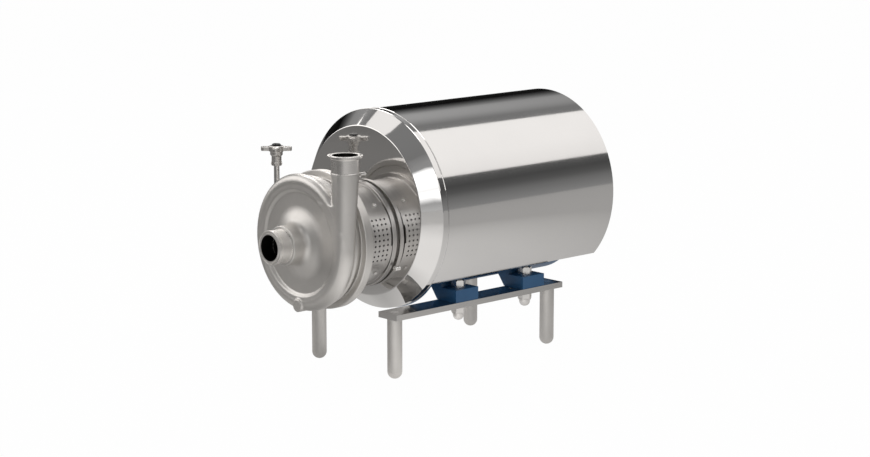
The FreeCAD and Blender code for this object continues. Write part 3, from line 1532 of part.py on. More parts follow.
def make_cover_posts(cover_x, sheet):
    """Posts between the fan cowl and the rear cover, and the screws through the cover."""
    cowl_end = BARREL_END + d.cowl_length
    posts = []
    screws = []
    for i, (y, z) in enumerate(cover_post_spots()):
        start = cowl_end + d.seat_clearance
        length = cover_x - d.seat_clearance - start
        post = rod("post_%d" % i, 6, length, start, y, SHAFT_Z + z, Vector(1, 0, 0))
        bore = rod("post_bore_%d" % i, 3.1, 14, cover_x - 13, y, SHAFT_Z + z, Vector(1, 0, 0))
        posts.append(carved("cover_post_%d" % i, post, [bore]))
        seat = Vector(float(cover_x + sheet), y, float(SHAFT_Z) + z)
        screws.append(cap_screw("cover_screw_%d" % i, seat, Vector(1, 0, 0), 5.5, 2.5, 3, 12))
    subpart(gathered("cover_posts", posts), "cover_posts")
    subpart(gathered("cover_screws", screws), "cover_screws")


def build():
    """Make every sub-part."""
    make_legs()
    make_bars()
    make_leg_screws()
    make_foot_fasteners()
    make_motor_frame()
    make_end_shields()
    make_motor_inside()
    make_terminal_box()
    make_ferrules()
    subpart(place(shaped("pump_casing", casing_shape()), PARTING, 0, SHAFT_Z), "pump_casing")
    make_back_plate()
    subpart(shaped("impeller", impeller_shape()), "impeller")
    make_pump_shaft()
    make_clamp_screw(make_clamp())
    make_adapter()
    subpart(shaped("guard_near", guard_shape(-1)), "guard_near")
    subpart(shaped("guard_far", guard_shape(1)), "guard_far")
    make_shroud()


def check_and_write():
    """Stop on any failed object, then write one file for each sub-part."""
    DOC.recompute()
    for obj in DOC.Objects:
        if "Invalid" in obj.State or "Error" in obj.State:
            raise RuntimeError("%s is not valid: %s" % (obj.Label, obj.State))
    os.makedirs("parts", exist_ok=True)
    for obj in SUBPARTS:
        shape = obj.Shape
        if shape.isNull() or not shape.isValid():
            raise RuntimeError("%s has no valid shape" % obj.Label)
        shape.exportStep("parts/%s.step" % obj.Label)
        print("%-20s solids %d volume %.1f" % (obj.Label, len(shape.Solids), shape.Volume))
    print(len(SUBPARTS), "sub-parts")


build()
check_and_write()
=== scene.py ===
"""Looks of the sanitary pump: finishes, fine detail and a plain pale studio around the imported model."""
import math

import bmesh
import bpy
from mathutils import Matrix, Quaternion, Vector


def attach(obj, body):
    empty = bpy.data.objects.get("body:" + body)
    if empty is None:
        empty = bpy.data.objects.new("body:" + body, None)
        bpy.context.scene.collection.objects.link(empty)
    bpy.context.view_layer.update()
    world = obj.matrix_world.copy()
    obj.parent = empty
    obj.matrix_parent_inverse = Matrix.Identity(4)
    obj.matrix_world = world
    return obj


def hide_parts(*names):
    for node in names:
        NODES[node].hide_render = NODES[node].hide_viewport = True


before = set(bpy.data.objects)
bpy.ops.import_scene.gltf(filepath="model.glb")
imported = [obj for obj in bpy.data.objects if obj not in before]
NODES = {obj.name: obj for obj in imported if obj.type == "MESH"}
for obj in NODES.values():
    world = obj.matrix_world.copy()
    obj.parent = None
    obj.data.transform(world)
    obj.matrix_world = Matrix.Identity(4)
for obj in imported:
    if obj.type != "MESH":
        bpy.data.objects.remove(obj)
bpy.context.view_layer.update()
FINISHES = {}

# Places are in metres: X runs along the shaft to the rear, the near side has negative Y, and Z is up.
SHAFT_HEIGHT = 0.258
SHROUD_HEIGHT = 0.2997
PARTING = -0.22675
OUTLET_X = -0.26435
OUTLET_Y = -0.105
INLET_WELD_X = -0.3279
OUTLET_WELD_HEIGHT = 0.398
HOOD_FACE_X = -0.131
FOOT_TOP = 0.150
BAR_UNDERSIDE = 0.115
FOOT_BOLTS = [(x, y) for x in (0.01325, 0.19125) for y in (-0.108, 0.108)]

# An axis is a point on it and the turn that brings it to local Z.
SHAFT_AXIS = ((0, 0, SHAFT_HEIGHT), (0, -math.pi / 2, 0))
OUTLET_AXIS = ((OUTLET_X, OUTLET_Y, 0), (0, 0, 0))


def make_camera():
    """The camera, with its place and lens as in the photograph."""
    turn = math.radians(-43.08)
    rise = math.radians(10.63)
    back = Vector((math.sin(turn) * math.cos(rise), -math.cos(turn) * math.cos(rise), math.sin(rise)))
    data = bpy.data.cameras.new("camera")
    data.lens = 92.15
    data.sensor_width = 36
    camera = bpy.data.objects.new("camera", data)
    camera.location = (-2.8286, -3.0822, 1.0337)
    camera.rotation_euler = (-back).to_track_quat("-Z", "Y").to_euler()
    bpy.context.scene.collection.objects.link(camera)
    bpy.context.scene.camera = camera


def add(tree, kind, settings=None, **inputs):
    """Add a node. An input is named by its label, or by its number after an underscore.

    A socket given for an input is linked to it, and a plain value is set on it.
    """
    made = tree.nodes.new(kind)
    for name, value in (settings or {}).items():
        setattr(made, name, value)
    for name, value in inputs.items():
        socket = made.inputs[int(name[1:])] if name[0] == "_" else made.inputs[name.replace("_", " ")]
        if isinstance(value, bpy.types.NodeSocket):
            tree.links.new(value, socket)
        else:
            socket.default_value = value
    return made


def maths(tree, operation, first, second=0.0):
    """One Math node's result."""
    return add(tree, "ShaderNodeMath", {"operation": operation}, _0=first, _1=second).outputs[0]


def vector_maths(tree, operation, first, second=(0, 0, 0)):
    """One Vector Math node's result: a vector, or a value where the operation gives one."""
    made = add(tree, "ShaderNodeVectorMath", {"operation": operation}, _0=first, _1=second)
    gives_value = operation in ("DOT_PRODUCT", "DISTANCE", "LENGTH")
    return made.outputs["Value" if gives_value else "Vector"]


def ranged(tree, value, low, high, to_low, to_high):
    """Map a value from one range to another, held at the ends."""
    return add(tree, "ShaderNodeMapRange", _0=value, _1=low, _2=high, _3=to_low, _4=to_high).outputs[0]


def mixed(tree, mask, first, second):
    """The first colour where a mask is 0 and the second where it is 1."""
    return add(tree, "ShaderNodeMix", {"data_type": "RGBA"}, _0=mask, _6=first, _7=second).outputs[2]


def blended(tree, first, second, share):
    """Two values added, the first by its share and the second by the rest."""
    return maths(tree, "ADD", maths(tree, "MULTIPLY", first, share),
                 maths(tree, "MULTIPLY", second, 1 - share))


def noise(tree, vector, scale, detail=2.0, roughness=0.5):
    """One noise texture's value."""
    return add(tree, "ShaderNodeTexNoise", Vector=vector, Scale=scale, Detail=detail,
               Roughness=roughness).outputs[0]


def cleared(owner):
    """The node tree of a new material or world, emptied."""
    owner.use_nodes = True
    owner.node_tree.nodes.clear()
    return owner.node_tree


FLOAT = "NodeSocketFloat"
VECTOR = "NodeSocketVector"


def group(name, inputs, outputs):
    """Start a node group whose inputs and outputs are given as labels with their kinds."""
    tree = bpy.data.node_groups.new(name, "ShaderNodeTree")
    for way, sockets in (("INPUT", inputs), ("OUTPUT", outputs)):
        for label, kind in sockets.items():
            tree.interface.new_socket(name=label, in_out=way, socket_type=kind)
    return tree, tree.nodes.new("NodeGroupInput").outputs, tree.nodes.new("NodeGroupOutput").inputs


def placed(tree, kind, **inputs):
    """Place one of this file's node groups."""
    return add(tree, "ShaderNodeGroup", {"node_tree": kind}, **inputs).outputs


def grain_group():
    """Fine even grain of blasted or cast metal."""
    tree, given, out = group("fine_grain", {"Vector": VECTOR, "Grains per metre": FLOAT},
                             {"Height": FLOAT, "Mask": FLOAT})
    fine = noise(tree, given["Vector"], given["Grains per metre"], 3.0, 0.6)
    coarse = noise(tree, given["Vector"], maths(tree, "MULTIPLY", given["Grains per metre"], 0.13))
    tree.links.new(blended(tree, fine, coarse, 0.7), out["Height"])
    tree.links.new(ranged(tree, coarse, 0.3, 0.7, 0.0, 1.0), out["Mask"])
    return tree


def lines_group():
    """Brush or lathe lines, from the place on the piece and the lines per metre across each direction."""
    tree, given, out = group("brush_lines", {"Vector": VECTOR, "Across": VECTOR},
                             {"Height": FLOAT, "Mask": FLOAT})
    stretched = vector_maths(tree, "MULTIPLY", given["Vector"], given["Across"])
    fine = noise(tree, stretched, 1.0, 4.0, 0.65)
    broad = noise(tree, stretched, 0.21, 2.0)
    height = blended(tree, fine, broad, 0.65)
    tree.links.new(height, out["Height"])
    tree.links.new(ranged(tree, height, 0.35, 0.65, 0.0, 1.0), out["Mask"])
    return tree


def handling_group():
    """Soft cloudy marks that wiping and handling leave."""
    tree, given, out = group("handling_marks", {"Vector": VECTOR, "Marks per metre": FLOAT},
                             {"Mask": FLOAT})
    cloud = noise(tree, given["Vector"], given["Marks per metre"], 4.0, 0.55)
    tree.links.new(ranged(tree, cloud, 0.42, 0.72, 0.0, 1.0), out["Mask"])
    return tree


def around_axis_group():
    """Turns a place into (distance from the axis, place along it, angle) for lines that run round."""
    tree, given, out = group("round_the_axis", {"Vector": VECTOR}, {"Vector": VECTOR})
    parts = add(tree, "ShaderNodeSeparateXYZ", _0=given["Vector"]).outputs
    squares = maths(tree, "ADD", maths(tree, "MULTIPLY", parts["X"], parts["X"]),
                    maths(tree, "MULTIPLY", parts["Y"], parts["Y"]))
    joined = add(tree, "ShaderNodeCombineXYZ", X=maths(tree, "SQRT", squares), Y=parts["Z"],
                 Z=maths(tree, "ARCTAN2", parts["Y"], parts["X"])).outputs[0]
    tree.links.new(joined, out["Vector"])
    return tree


GRAIN = grain_group()
LINES = lines_group()
HANDLING = handling_group()
ROUND = around_axis_group()


def new_finish(name, metallic=0.0):
    """Start a finish: its material, tree and shader, and the place on the piece."""
    material = bpy.data.materials.new(name)
    FINISHES[name] = material
    tree = cleared(material)
    shader = tree.nodes.new("ShaderNodeBsdfPrincipled")
    shader.inputs["Metallic"].default_value = metallic
    out = tree.nodes.new("ShaderNodeOutputMaterial")
    tree.links.new(shader.outputs[0], out.inputs["Surface"])
    return tree, shader, tree.nodes.new("ShaderNodeTexCoord").outputs["Object"]


def centred(tree, place, axis):
    """The place measured from an axis, turned so that the axis is local Z."""
    point, turn = axis
    moved = vector_maths(tree, "SUBTRACT", place, point)
    return add(tree, "ShaderNodeMapping", {"vector_type": "POINT"}, Vector=moved, Rotation=turn).outputs[0]


def in_bore(tree, place, axis):
    """1 inside the passage along an axis, 0 outside it."""
    reach, edge = 0.0241, 0.0003
    across = vector_maths(tree, "MULTIPLY", centred(tree, place, axis), (1, 1, 0))
    return ranged(tree, vector_maths(tree, "LENGTH", across), reach, reach + edge, 1.0, 0.0)


def coloured(tree, shader, mask, first, second, shaded_bores=()):
    """Base colour that moves between two near tones with a mask, and is painted dark inside the bores
    given, as painted shade of the deep passage.
    """
    # painted shade: a dark dull colour inside a bore stands for the shade deep in the passage
    painted_bore_shade = (0.06, 0.057, 0.052, 1)
    colour = mixed(tree, mask, (*first, 1), (*second, 1))
    for bore in shaded_bores:
        colour = mixed(tree, bore, colour, painted_bore_shade)
    tree.links.new(colour, shader.inputs["Base Color"])


def roughened(tree, shader, *layers):
    """Roughness as a sum of layers, each a mask with what it adds at 0 and at 1."""
    total = 0.0
    for mask, at_0, at_1 in layers:
        total = maths(tree, "ADD", total, ranged(tree, mask, 0, 1, at_0, at_1))
    tree.links.new(total, shader.inputs["Roughness"])


def bumped(tree, shader, height, distance):
    """Relief on the surface, its depth in metres."""
    bump = add(tree, "ShaderNodeBump", Height=height, Distance=distance)
    tree.links.new(bump.outputs[0], shader.inputs["Normal"])


def blasted_metal(name, dark, light, roughness, grain=1400.0, relief=0.00004, shaded_bores=()):
    """Bead-blasted stainless steel: even, soft and slightly cloudy, with painted shade inside the bores
    given.
    """
    tree, shader, place = new_finish(name, 1.0)
    fine = placed(tree, GRAIN, Vector=place, Grains_per_metre=grain)
    marks = placed(tree, HANDLING, Vector=place, Marks_per_metre=14.0)
    coloured(tree, shader, marks["Mask"], light, dark, [in_bore(tree, place, bore) for bore in shaded_bores])
    roughened(tree, shader, (marks["Mask"], roughness, roughness + 0.06), (fine["Mask"], -0.02, 0.02))
    bumped(tree, shader, fine["Height"], relief)


def lined_metal(name, dark, light, roughness, across, axis=None, relief=0.00002, shaded_bores=()):
    """Brushed or turned metal. Its lines run straight, or round an axis where one is given. Bores given get
    painted shade inside.
    """
    tree, shader, place = new_finish(name, 1.0)
    path = placed(tree, ROUND, Vector=centred(tree, place, axis))["Vector"] if axis else place
    lines = placed(tree, LINES, Vector=path, Across=across)
    marks = placed(tree, HANDLING, Vector=place, Marks_per_metre=22.0)
    coloured(tree, shader, lines["Mask"], dark, light, [in_bore(tree, place, bore) for bore in shaded_bores])
    roughened(tree, shader, (lines["Mask"], roughness + 0.1, roughness), (marks["Mask"], 0.0, 0.04))
    bumped(tree, shader, lines["Height"], relief)


def mirror_metal(name, tone, roughness, waviness, wiped, scratched):
    """Polished sheet: nearly a mirror, with wiped patches, fine scratches and the sheet's faint wave."""
    tree, shader, place = new_finish(name, 1.0)
    marks = placed(tree, HANDLING, Vector=place, Marks_per_metre=9.0)
    scratches = placed(tree, LINES, Vector=place, Across=(90.0, 2600.0, 2600.0))
    coloured(tree, shader, marks["Mask"], tone, [0.985 * part for part in tone])
    roughened(tree, shader, (marks["Mask"], roughness, roughness + wiped),
              (scratches["Mask"], 0.0, scratched))
    bumped(tree, shader, noise(tree, place, 7.0, 1.0), waviness)


def painted(name, dark, light, roughness):
    """Sprayed paint with a little orange peel and soft marks."""
    tree, shader, place = new_finish(name)
    skin = placed(tree, GRAIN, Vector=place, Grains_per_metre=520.0)
    marks = placed(tree, HANDLING, Vector=place, Marks_per_metre=18.0)
    coloured(tree, shader, marks["Mask"], dark, light)
    roughened(tree, shader, (marks["Mask"], roughness, roughness + 0.1), (skin["Mask"], -0.03, 0.03))
    bumped(tree, shader, skin["Height"], 0.00005)


def moulded(name, dark, light, roughness):
    """Moulded plastic, rubber, carbon or carbide."""
    tree, shader, place = new_finish(name)
    skin = placed(tree, GRAIN, Vector=place, Grains_per_metre=900.0)
    coloured(tree, shader, skin["Mask"], dark, light)
    roughened(tree, shader, (skin["Mask"], roughness, roughness + 0.12))
    bumped(tree, shader, skin["Height"], 0.00005)


def make_finishes():
    """Every finish on the pump: its tones, its roughness and what sets it apart."""
    grey = (0.65, 0.635, 0.612)
    warm = (0.71, 0.692, 0.668)
    clean = (0.72, 0.70, 0.68)
    pale = (0.82, 0.80, 0.775)
    bright = (0.86, 0.84, 0.815)
    # Lines per metre in X, Y and Z, or away from an axis, along it and for each radian round it.
    drawn = (25.0, 2600.0, 2600.0)
    tumbled = (700.0, 700.0, 700.0)
    turned = (2600.0, 2600.0, 1.5)
    stacked = (10.0, 2000.0, 0.5)
    wound = (900.0, 900.0, 3.0)
    blasted_metal("satin_steel", grey, warm, 0.40)
    # The casing's suction bore gets painted shade, as do the inlet's and outlet's bores below.
    blasted_metal("casing_steel", grey, warm, 0.42, shaded_bores=[SHAFT_AXIS])
    blasted_metal("clamp_steel", grey, warm, 0.44)
    blasted_metal("weld_steel", warm, bright, 0.24, grain=2600.0, relief=0.0001)
    blasted_metal("thread_steel", (0.60, 0.59, 0.57), (0.72, 0.71, 0.69), 0.24)
    blasted_metal("dome_steel", (0.84, 0.82, 0.80), (0.90, 0.88, 0.86), 0.30)
    blasted_metal("knob_steel", grey, warm, 0.27, grain=900.0, relief=0.00006)
    lined_metal("bar_steel", (0.53, 0.52, 0.51), (0.61, 0.60, 0.585), 0.16, drawn)
    lined_metal("brushed_steel", clean, pale, 0.20, turned, SHAFT_AXIS)
    lined_metal("barrel_steel", (0.54, 0.527, 0.512), (0.63, 0.613, 0.595), 0.30, turned, SHAFT_AXIS)
    # painted shade inside the inlet and outlet bores
    lined_metal("inlet_steel", (0.76, 0.74, 0.715), bright, 0.34, turned, SHAFT_AXIS, shaded_bores=[SHAFT_AXIS])
    lined_metal("outlet_steel", clean, pale, 0.24, turned, OUTLET_AXIS, relief=0.000006,
                shaded_bores=[OUTLET_AXIS])
    mirror_metal("polished_steel", (0.80, 0.79, 0.78), 0.07, waviness=0.00002, wiped=0.035, scratched=0.02)
    mirror_metal("hood_steel", (0.78, 0.77, 0.76), 0.055, waviness=0.00001, wiped=0.02, scratched=0.006)
    painted("blue_paint", (0.026, 0.105, 0.235), (0.034, 0.125, 0.27), 0.36)
    lined_metal("fastener_steel", (0.80, 0.79, 0.77), (0.90, 0.885, 0.865), 0.20, tumbled)
    lined_metal("bare_steel", (0.50, 0.49, 0.48), (0.62, 0.61, 0.60), 0.22, turned, SHAFT_AXIS)
    lined_metal("laminated_iron", (0.20, 0.20, 0.21), (0.34, 0.34, 0.35), 0.45, stacked, SHAFT_AXIS,
                relief=0.0002)
    lined_metal("copper_winding", (0.42, 0.16, 0.07), (0.72, 0.33, 0.16), 0.34, wound, SHAFT_AXIS,
                relief=0.0006)
    moulded("black_plastic", (0.012, 0.012, 0.013), (0.022, 0.022, 0.023), 0.30)
    moulded("black_rubber", (0.014, 0.014, 0.014), (0.026, 0.026, 0.025), 0.60)
    moulded("seal_carbide", (0.060, 0.062, 0.066), (0.085, 0.088, 0.092), 0.22)
    moulded("seal_carbon", (0.020, 0.020, 0.021), (0.034, 0.034, 0.035), 0.42)


OWN_FINISH = {"adapter": "barrel_steel", "guard_near": "barrel_steel", "guard_far": "barrel_steel"}


def dress_nodes():
    """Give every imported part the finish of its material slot, or one of its own."""
    for name, part in NODES.items():
        slot = part.data.materials[0].name
        part.data.materials.clear()
        part.data.materials.append(FINISHES[OWN_FINISH.get(name, slot)])


def finished(shape, name, *materials):
    """Turn a bmesh into an object at the scene's origin."""
    mesh = bpy.data.meshes.new(name)
    shape.to_mesh(mesh)
    shape.free()
    for material in materials:
        mesh.materials.append(material)
    made = bpy.data.objects.new(name, mesh)
    bpy.context.scene.collection.objects.link(made)
    return made


def copied(name):
    """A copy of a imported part's mesh, with its loose triangles joined."""
    shape = bmesh.new()
    shape.from_mesh(NODES[name].data)
    bmesh.ops.remove_doubles(shape, verts=shape.verts, dist=0.00002)
    bmesh.ops.recalc_face_normals(shape, faces=shape.faces)
    return shape


def spun(outline, steps=48, closed=False):
    """A turned shape round Z, from points given as radius and height."""
    shape = bmesh.new()
    corners = [shape.verts.new((radius, 0, height)) for radius, height in outline]
    pairs = list(zip(corners, corners[1:]))
    if closed:
        pairs.append((corners[-1], corners[0]))
    sides = [shape.edges.new(pair) for pair in pairs]
    bmesh.ops.spin(shape, geom=corners + sides, axis=(0, 0, 1), cent=(0, 0, 0), angle=2 * math.pi,
                   steps=steps, use_merge=True)
    bmesh.ops.remove_doubles(shape, verts=shape.verts, dist=0.000002)
    bmesh.ops.recalc_face_normals(shape, faces=shape.faces)
    return shape


def disc(radius, low, high, steps=48):
    """A plain round disc or rod round Z between two heights."""
    return spun([(0, low), (radius, low), (radius, high), (0, high)], steps)


def bead(radius, across, up, corners, steps):
    """A ring round Z with a rounded section, given by half its width across and half its height."""
    turns = [2 * math.pi * corner / corners for corner in range(corners)]
    outline = [(radius + across * math.cos(turn), up * math.sin(turn)) for turn in turns]
    return spun(outline, steps, closed=True)


def threaded(radius, pitch, low, high, steps=20):
    """A real screw thread round Z between two heights, cut flat at both ends."""
    shape = bmesh.new()
    core = radius - 0.6 * pitch
    outline = ((core, 0), (radius, 0.44 * pitch), (radius, 0.56 * pitch), (core, pitch))
    corners = [shape.verts.new((across, 0, low - pitch + height)) for across, height in outline]
    sides = [shape.edges.new(pair) for pair in zip(corners, corners[1:])]
    turns = math.ceil((high - low) / pitch) + 1
    bmesh.ops.spin(shape, geom=corners + sides, axis=(0, 0, 1), cent=(0, 0, 0),
                   dvec=(0, 0, pitch / steps), angle=2 * math.pi * turns, steps=steps * turns)
    bmesh.ops.remove_doubles(shape, verts=shape.verts, dist=0.00001)
    for height, side in ((low, -1), (high, 1)):
        everything = shape.verts[:] + shape.edges[:] + shape.faces[:]
        bmesh.ops.bisect_plane(shape, geom=everything, plane_co=(0, 0, height), plane_no=(0, 0, side),
                               clear_outer=True)
        rim = [edge for edge in shape.edges if edge.is_boundary
               and all(abs(corner.co.z - height) < 0.00001 for corner in edge.verts)]
        bmesh.ops.holes_fill(shape, edges=rim)
    bmesh.ops.recalc_face_normals(shape, faces=shape.faces)
    return shape


def raised(shape, height):
    """Move a shape up."""
    bmesh.ops.translate(shape, verts=shape.verts, vec=(0, 0, height))
    return shape


def hexagon(radius, height, trim):
    """An upright six-sided bar standing on the origin, its corners trimmed at both ends as on a nut."""
    shape = bmesh.new()
    bmesh.ops.create_cone(shape, cap_ends=True, segments=6, radius1=radius, radius2=radius, depth=height)
    bmesh.ops.bevel(shape, geom=shape.verts[:], affect="VERTICES", offset=trim, segments=1,
                    profile=0.5, material=-1)
    return raised(shape, height / 2)


def gathered(*shapes):
    """Several shapes made one."""
    whole = bmesh.new()
    for shape in shapes:
        mesh = bpy.data.meshes.new("gathered")
        shape.to_mesh(mesh)
        shape.free()
        whole.from_mesh(mesh)
        bpy.data.meshes.remove(mesh)
    return whole


def aimed(shape, place, direction=(0, 0, 1)):
    """Move a shape from the origin to its place, with its Z turned to a direction."""
    turn = Vector(direction).to_track_quat("Z", "Y").to_matrix().to_4x4()
    bmesh.ops.transform(shape, matrix=Matrix.Translation(place) @ turn, verts=shape.verts)
    return shape


def rounded(shape, width, over=30.0, segments=2, where=None):
    """Round the edges that turn by more than an angle, all of them or those that where picks."""
    flat_within = math.radians(0.5)
    bmesh.ops.dissolve_limit(shape, angle_limit=flat_within, verts=shape.verts, edges=shape.edges)
    edges = [edge for edge in shape.edges
             if edge.is_manifold and edge.calc_face_angle(0.0) > math.radians(over)
             and (where is None or where(edge))]
    bmesh.ops.bevel(shape, geom=edges, affect="EDGES", offset=width, segments=segments, profile=0.5,
                    material=-1, clamp_overlap=True)
    return shape


def settle(shape, name, finish, slot, body, *stands_for, sharp=38.0):
    """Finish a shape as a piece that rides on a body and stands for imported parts.

    Its shading follows the large faces, so that flat and turned surfaces reflect truly up to their edges.
    """
    for face in shape.faces:
        face.smooth = True
    for edge in shape.edges:
        edge.smooth = edge.calc_face_angle(0.0) < math.radians(sharp)
    piece = finished(shape, name, FINISHES[finish])
    piece.modifiers.new("even_shading", "WEIGHTED_NORMAL").keep_sharp = True
    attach(piece, body)
    if stands_for:
        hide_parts(*stands_for)


def recast(rough_shape, voxel, rounds, share=1.0):
    """A shape made again as one cast and polished skin, thinned to a share of its faces."""
    blank = finished(rough_shape, "blank")
    voxels = blank.modifiers.new("voxels", "REMESH")
    voxels.mode = "VOXEL"
    voxels.voxel_size = voxel
    polish = blank.modifiers.new("polish", "SMOOTH")
    polish.factor = 0.5
    polish.iterations = rounds
    if share < 1.0:
        blank.modifiers.new("thinned", "DECIMATE").ratio = share
    graph = bpy.context.evaluated_depsgraph_get()
    mesh = bpy.data.meshes.new_from_object(blank.evaluated_get(graph))
    bpy.data.objects.remove(blank)
    shape = bmesh.new()
    shape.from_mesh(mesh)
    bpy.data.meshes.remove(mesh)
    return shape


def make_casing():
    """The casing, in which spiral channel, outlet and front flow together."""
    shape = recast(copied("pump_casing"), 0.0014, 5, 0.5)
    outlet_root = Vector((-0.285, -0.120, 0.2735))
    reach = 0.016
    rounds = 60
    blend = [corner for corner in shape.verts if (corner.co - outlet_root).length < reach]
    for _ in range(rounds):
        bmesh.ops.smooth_vert(shape, verts=blend, factor=0.5, use_axis_x=True, use_axis_y=True,
                              use_axis_z=True)
    settle(shape, "casing_body", "casing_steel", "satin_steel", "root", "pump_casing", sharp=60.0)


def make_ferrules():
    """The two clamp ferrules with their edges broken, as turned parts have them."""
    broken = 0.0006
    for node, name, finish in (("suction_ferrule", "inlet_ferrule", "inlet_steel"),
                               ("discharge_ferrule", "outlet_ferrule", "outlet_steel")):
        settle(rounded(copied(node), broken), name, finish, "brushed_steel", "root", node)


def weld_bead(radius, width):
    """A low bead round Z, as an automatic weld leaves it."""
    return bead(radius, width, 0.9 * width, 6, 96)


def make_welds():
    """The welds between the casing and its two ferrules."""
    inlet = aimed(weld_bead(0.0317, 0.0011), (INLET_WELD_X, 0, SHAFT_HEIGHT), (1, 0, 0))
    outlet = aimed(weld_bead(0.02525, 0.0010), (OUTLET_X, OUTLET_Y, OUTLET_WELD_HEIGHT))
    settle(gathered(inlet, outlet), "weld_beads", "weld_steel", "satin_steel", "root")


def cap_head(radius, height, socket):
    """A round cap screw head with a hexagon socket, standing on the origin."""
    crown = 0.0006
    chamfer = 0.0004
    broken = 0.0002
    floor = 0.35 * height
    shape = spun([(0, 0), (radius - broken, 0), (radius, chamfer), (radius, height - crown),
                  (radius - crown, height), (1.12 * socket, height), (socket, height - chamfer),
                  (socket, floor), (0, 0.8 * floor)])
    half_side = math.pi / 6
    for corner in shape.verts:
        across = corner.co.xy.length
        if 0.2 * socket < across < 1.05 * socket:
            turn = math.atan2(corner.co.y, corner.co.x) % (2 * half_side) - half_side
            corner.co.xy *= math.cos(half_side) / math.cos(turn)
    return shape


def make_hood_screws():
    """Socket heads of the three screws in the hood's face."""
    high, low, side = 0.367, 0.2035, 0.0944
    heads = [aimed(cap_head(0.0050, 0.006, 0.0029), (HOOD_FACE_X, y, z), (-1, 0, 0))
             for y, z in ((0.0, high), (-side, low), (side, low))]
    settle(gathered(*heads), "hood_screw_heads", "fastener_steel", "fastener_steel", "root", "hood_screws")


def make_guard_screws():
    """Socket heads of the guards' screws, each given by its place and the degrees that it points up."""
    upper = (-0.16675, 0.07231, 0.32192, 47.3)
    lower = (-0.16875, 0.07567, 0.19783, -44.2)
    heads = []
    for x, y, z, degrees in (upper, lower):
        rise = math.radians(degrees)
        for side in (-1, 1):
            heads.append(aimed(cap_head(0.0036, 0.0032, 0.0022), (x, side * y, z),
                               (0, side * math.cos(rise), math.sin(rise))))
    settle(gathered(*heads), "guard_screw_heads", "fastener_steel", "fastener_steel", "root",
           "guard_screws")


STUD_HOLE = 0.0082
WASHER_HEIGHT = 0.0018
NUT_RADIUS = 0.01386
NUT_TRIM = 0.0021
SUNK = 0.0001


def washer(hole=0.0):
    """A washer with broken edges, standing on the origin, and without a hole where a nut hides it."""
    radius, broken = 0.014, 0.0003
    outline = [(hole, 0), (radius - broken, 0), (radius, broken), (radius, WASHER_HEIGHT - broken),
               (radius - broken, WASHER_HEIGHT), (hole, WASHER_HEIGHT)]
    return spun(outline, closed=hole > 0)


def stud_nut():
    """Washer, nut and the nut's raised face on top of a motor foot."""
    height = 0.0124
    nut_foot = FOOT_TOP + WASHER_HEIGHT
    face = spun([(STUD_HOLE, 0), (0.0112, 0), (0.0106, 0.0005), (STUD_HOLE, 0.0005)], closed=True)
    return gathered(raised(washer(STUD_HOLE), FOOT_TOP),
                    raised(hexagon(NUT_RADIUS, height, NUT_TRIM), nut_foot),
                    raised(face, nut_foot + height - SUNK))


def stud():
    """A foot stud: its thread above the foot, its chamfered tip, and its shank down to the domed nut."""
    thread_low, thread_high, tip = 0.155, 0.1695, 0.1703
    shank_low, shank_high = 0.0922, 0.156
    flat = thread_high - SUNK
    return gathered(threaded(0.008, 0.002, thread_low, thread_high),
                    spun([(0, flat), (0.0071, flat), (0.0062, tip), (0, tip)], 32),
                    disc(0.0079, shank_low, shank_high, 32))


def dome(radius, fullness, steps):
    """A dome's outline from its pole at the origin: a fullness of 2 is half a ball, and more is squarer."""
    turns = [math.pi / 2 * step / steps for step in range(steps + 1)]
    power = 2 / fullness
    return [(radius * math.sin(turn) ** power, radius * (1 - math.cos(turn) ** power)) for turn in turns]


def domed_nut():
    """Washer, nut and dome under a flat bar, with the low flange between nut and dome."""
    nut_height, dome_height = 0.0118, 0.0153
    nut_foot = BAR_UNDERSIDE - WASHER_HEIGHT - nut_height
    flange = [(0.0105, 0.0128), (0.0112, 0.0132), (0.0122, 0.0134), (0.0122, 0.0148),
              (0.0112, dome_height), (0, dome_height)]
    cap = spun(dome(0.0105, 2.2, 5) + flange)
    return gathered(raised(washer(), BAR_UNDERSIDE - WASHER_HEIGHT),
                    raised(hexagon(NUT_RADIUS, nut_height, NUT_TRIM), nut_foot),
                    raised(cap, nut_foot + SUNK - dome_height))


def at_feet(make_one):
    """A shape made for each of the four motor foot bolts and moved to it."""
    return gathered(*[aimed(make_one(), (x, y, 0)) for x, y in FOOT_BOLTS])


def make_foot_fasteners():
    """Washered nuts and threaded stud ends above the motor feet, domed nuts under the bars."""
    settle(at_feet(stud_nut), "stud_nuts", "fastener_steel", "fastener_steel", "root", "foot_nuts")
    settle(at_feet(stud), "stud_threads", "thread_steel", "fastener_steel", "root", "foot_studs")
    settle(at_feet(domed_nut), "cap_nuts", "dome_steel", "fastener_steel", "root", "domed_nuts")


KNOB_X = PARTING
KNOB_Y = 0.135
KNOB_FOOT = 0.3976
KNOB_TURN = math.radians(47)
QUARTERS = [KNOB_TURN + quarter * math.pi / 2 for quarter in range(4)]


def knob_arm():
    """One arm of the knob along X, with a round end."""
    reach, width, height, foot = 0.023, 0.012, 0.008, 0.0099
    stem = bmesh.new()
    bmesh.ops.create_cube(stem, size=1.0)
    bmesh.ops.scale(stem, verts=stem.verts, vec=(reach, width, height))
    bmesh.ops.translate(stem, verts=stem.verts, vec=(reach / 2, 0, foot + height / 2))
    return gathered(stem, aimed(disc(width / 2, 0, height), (reach, 0, foot)))


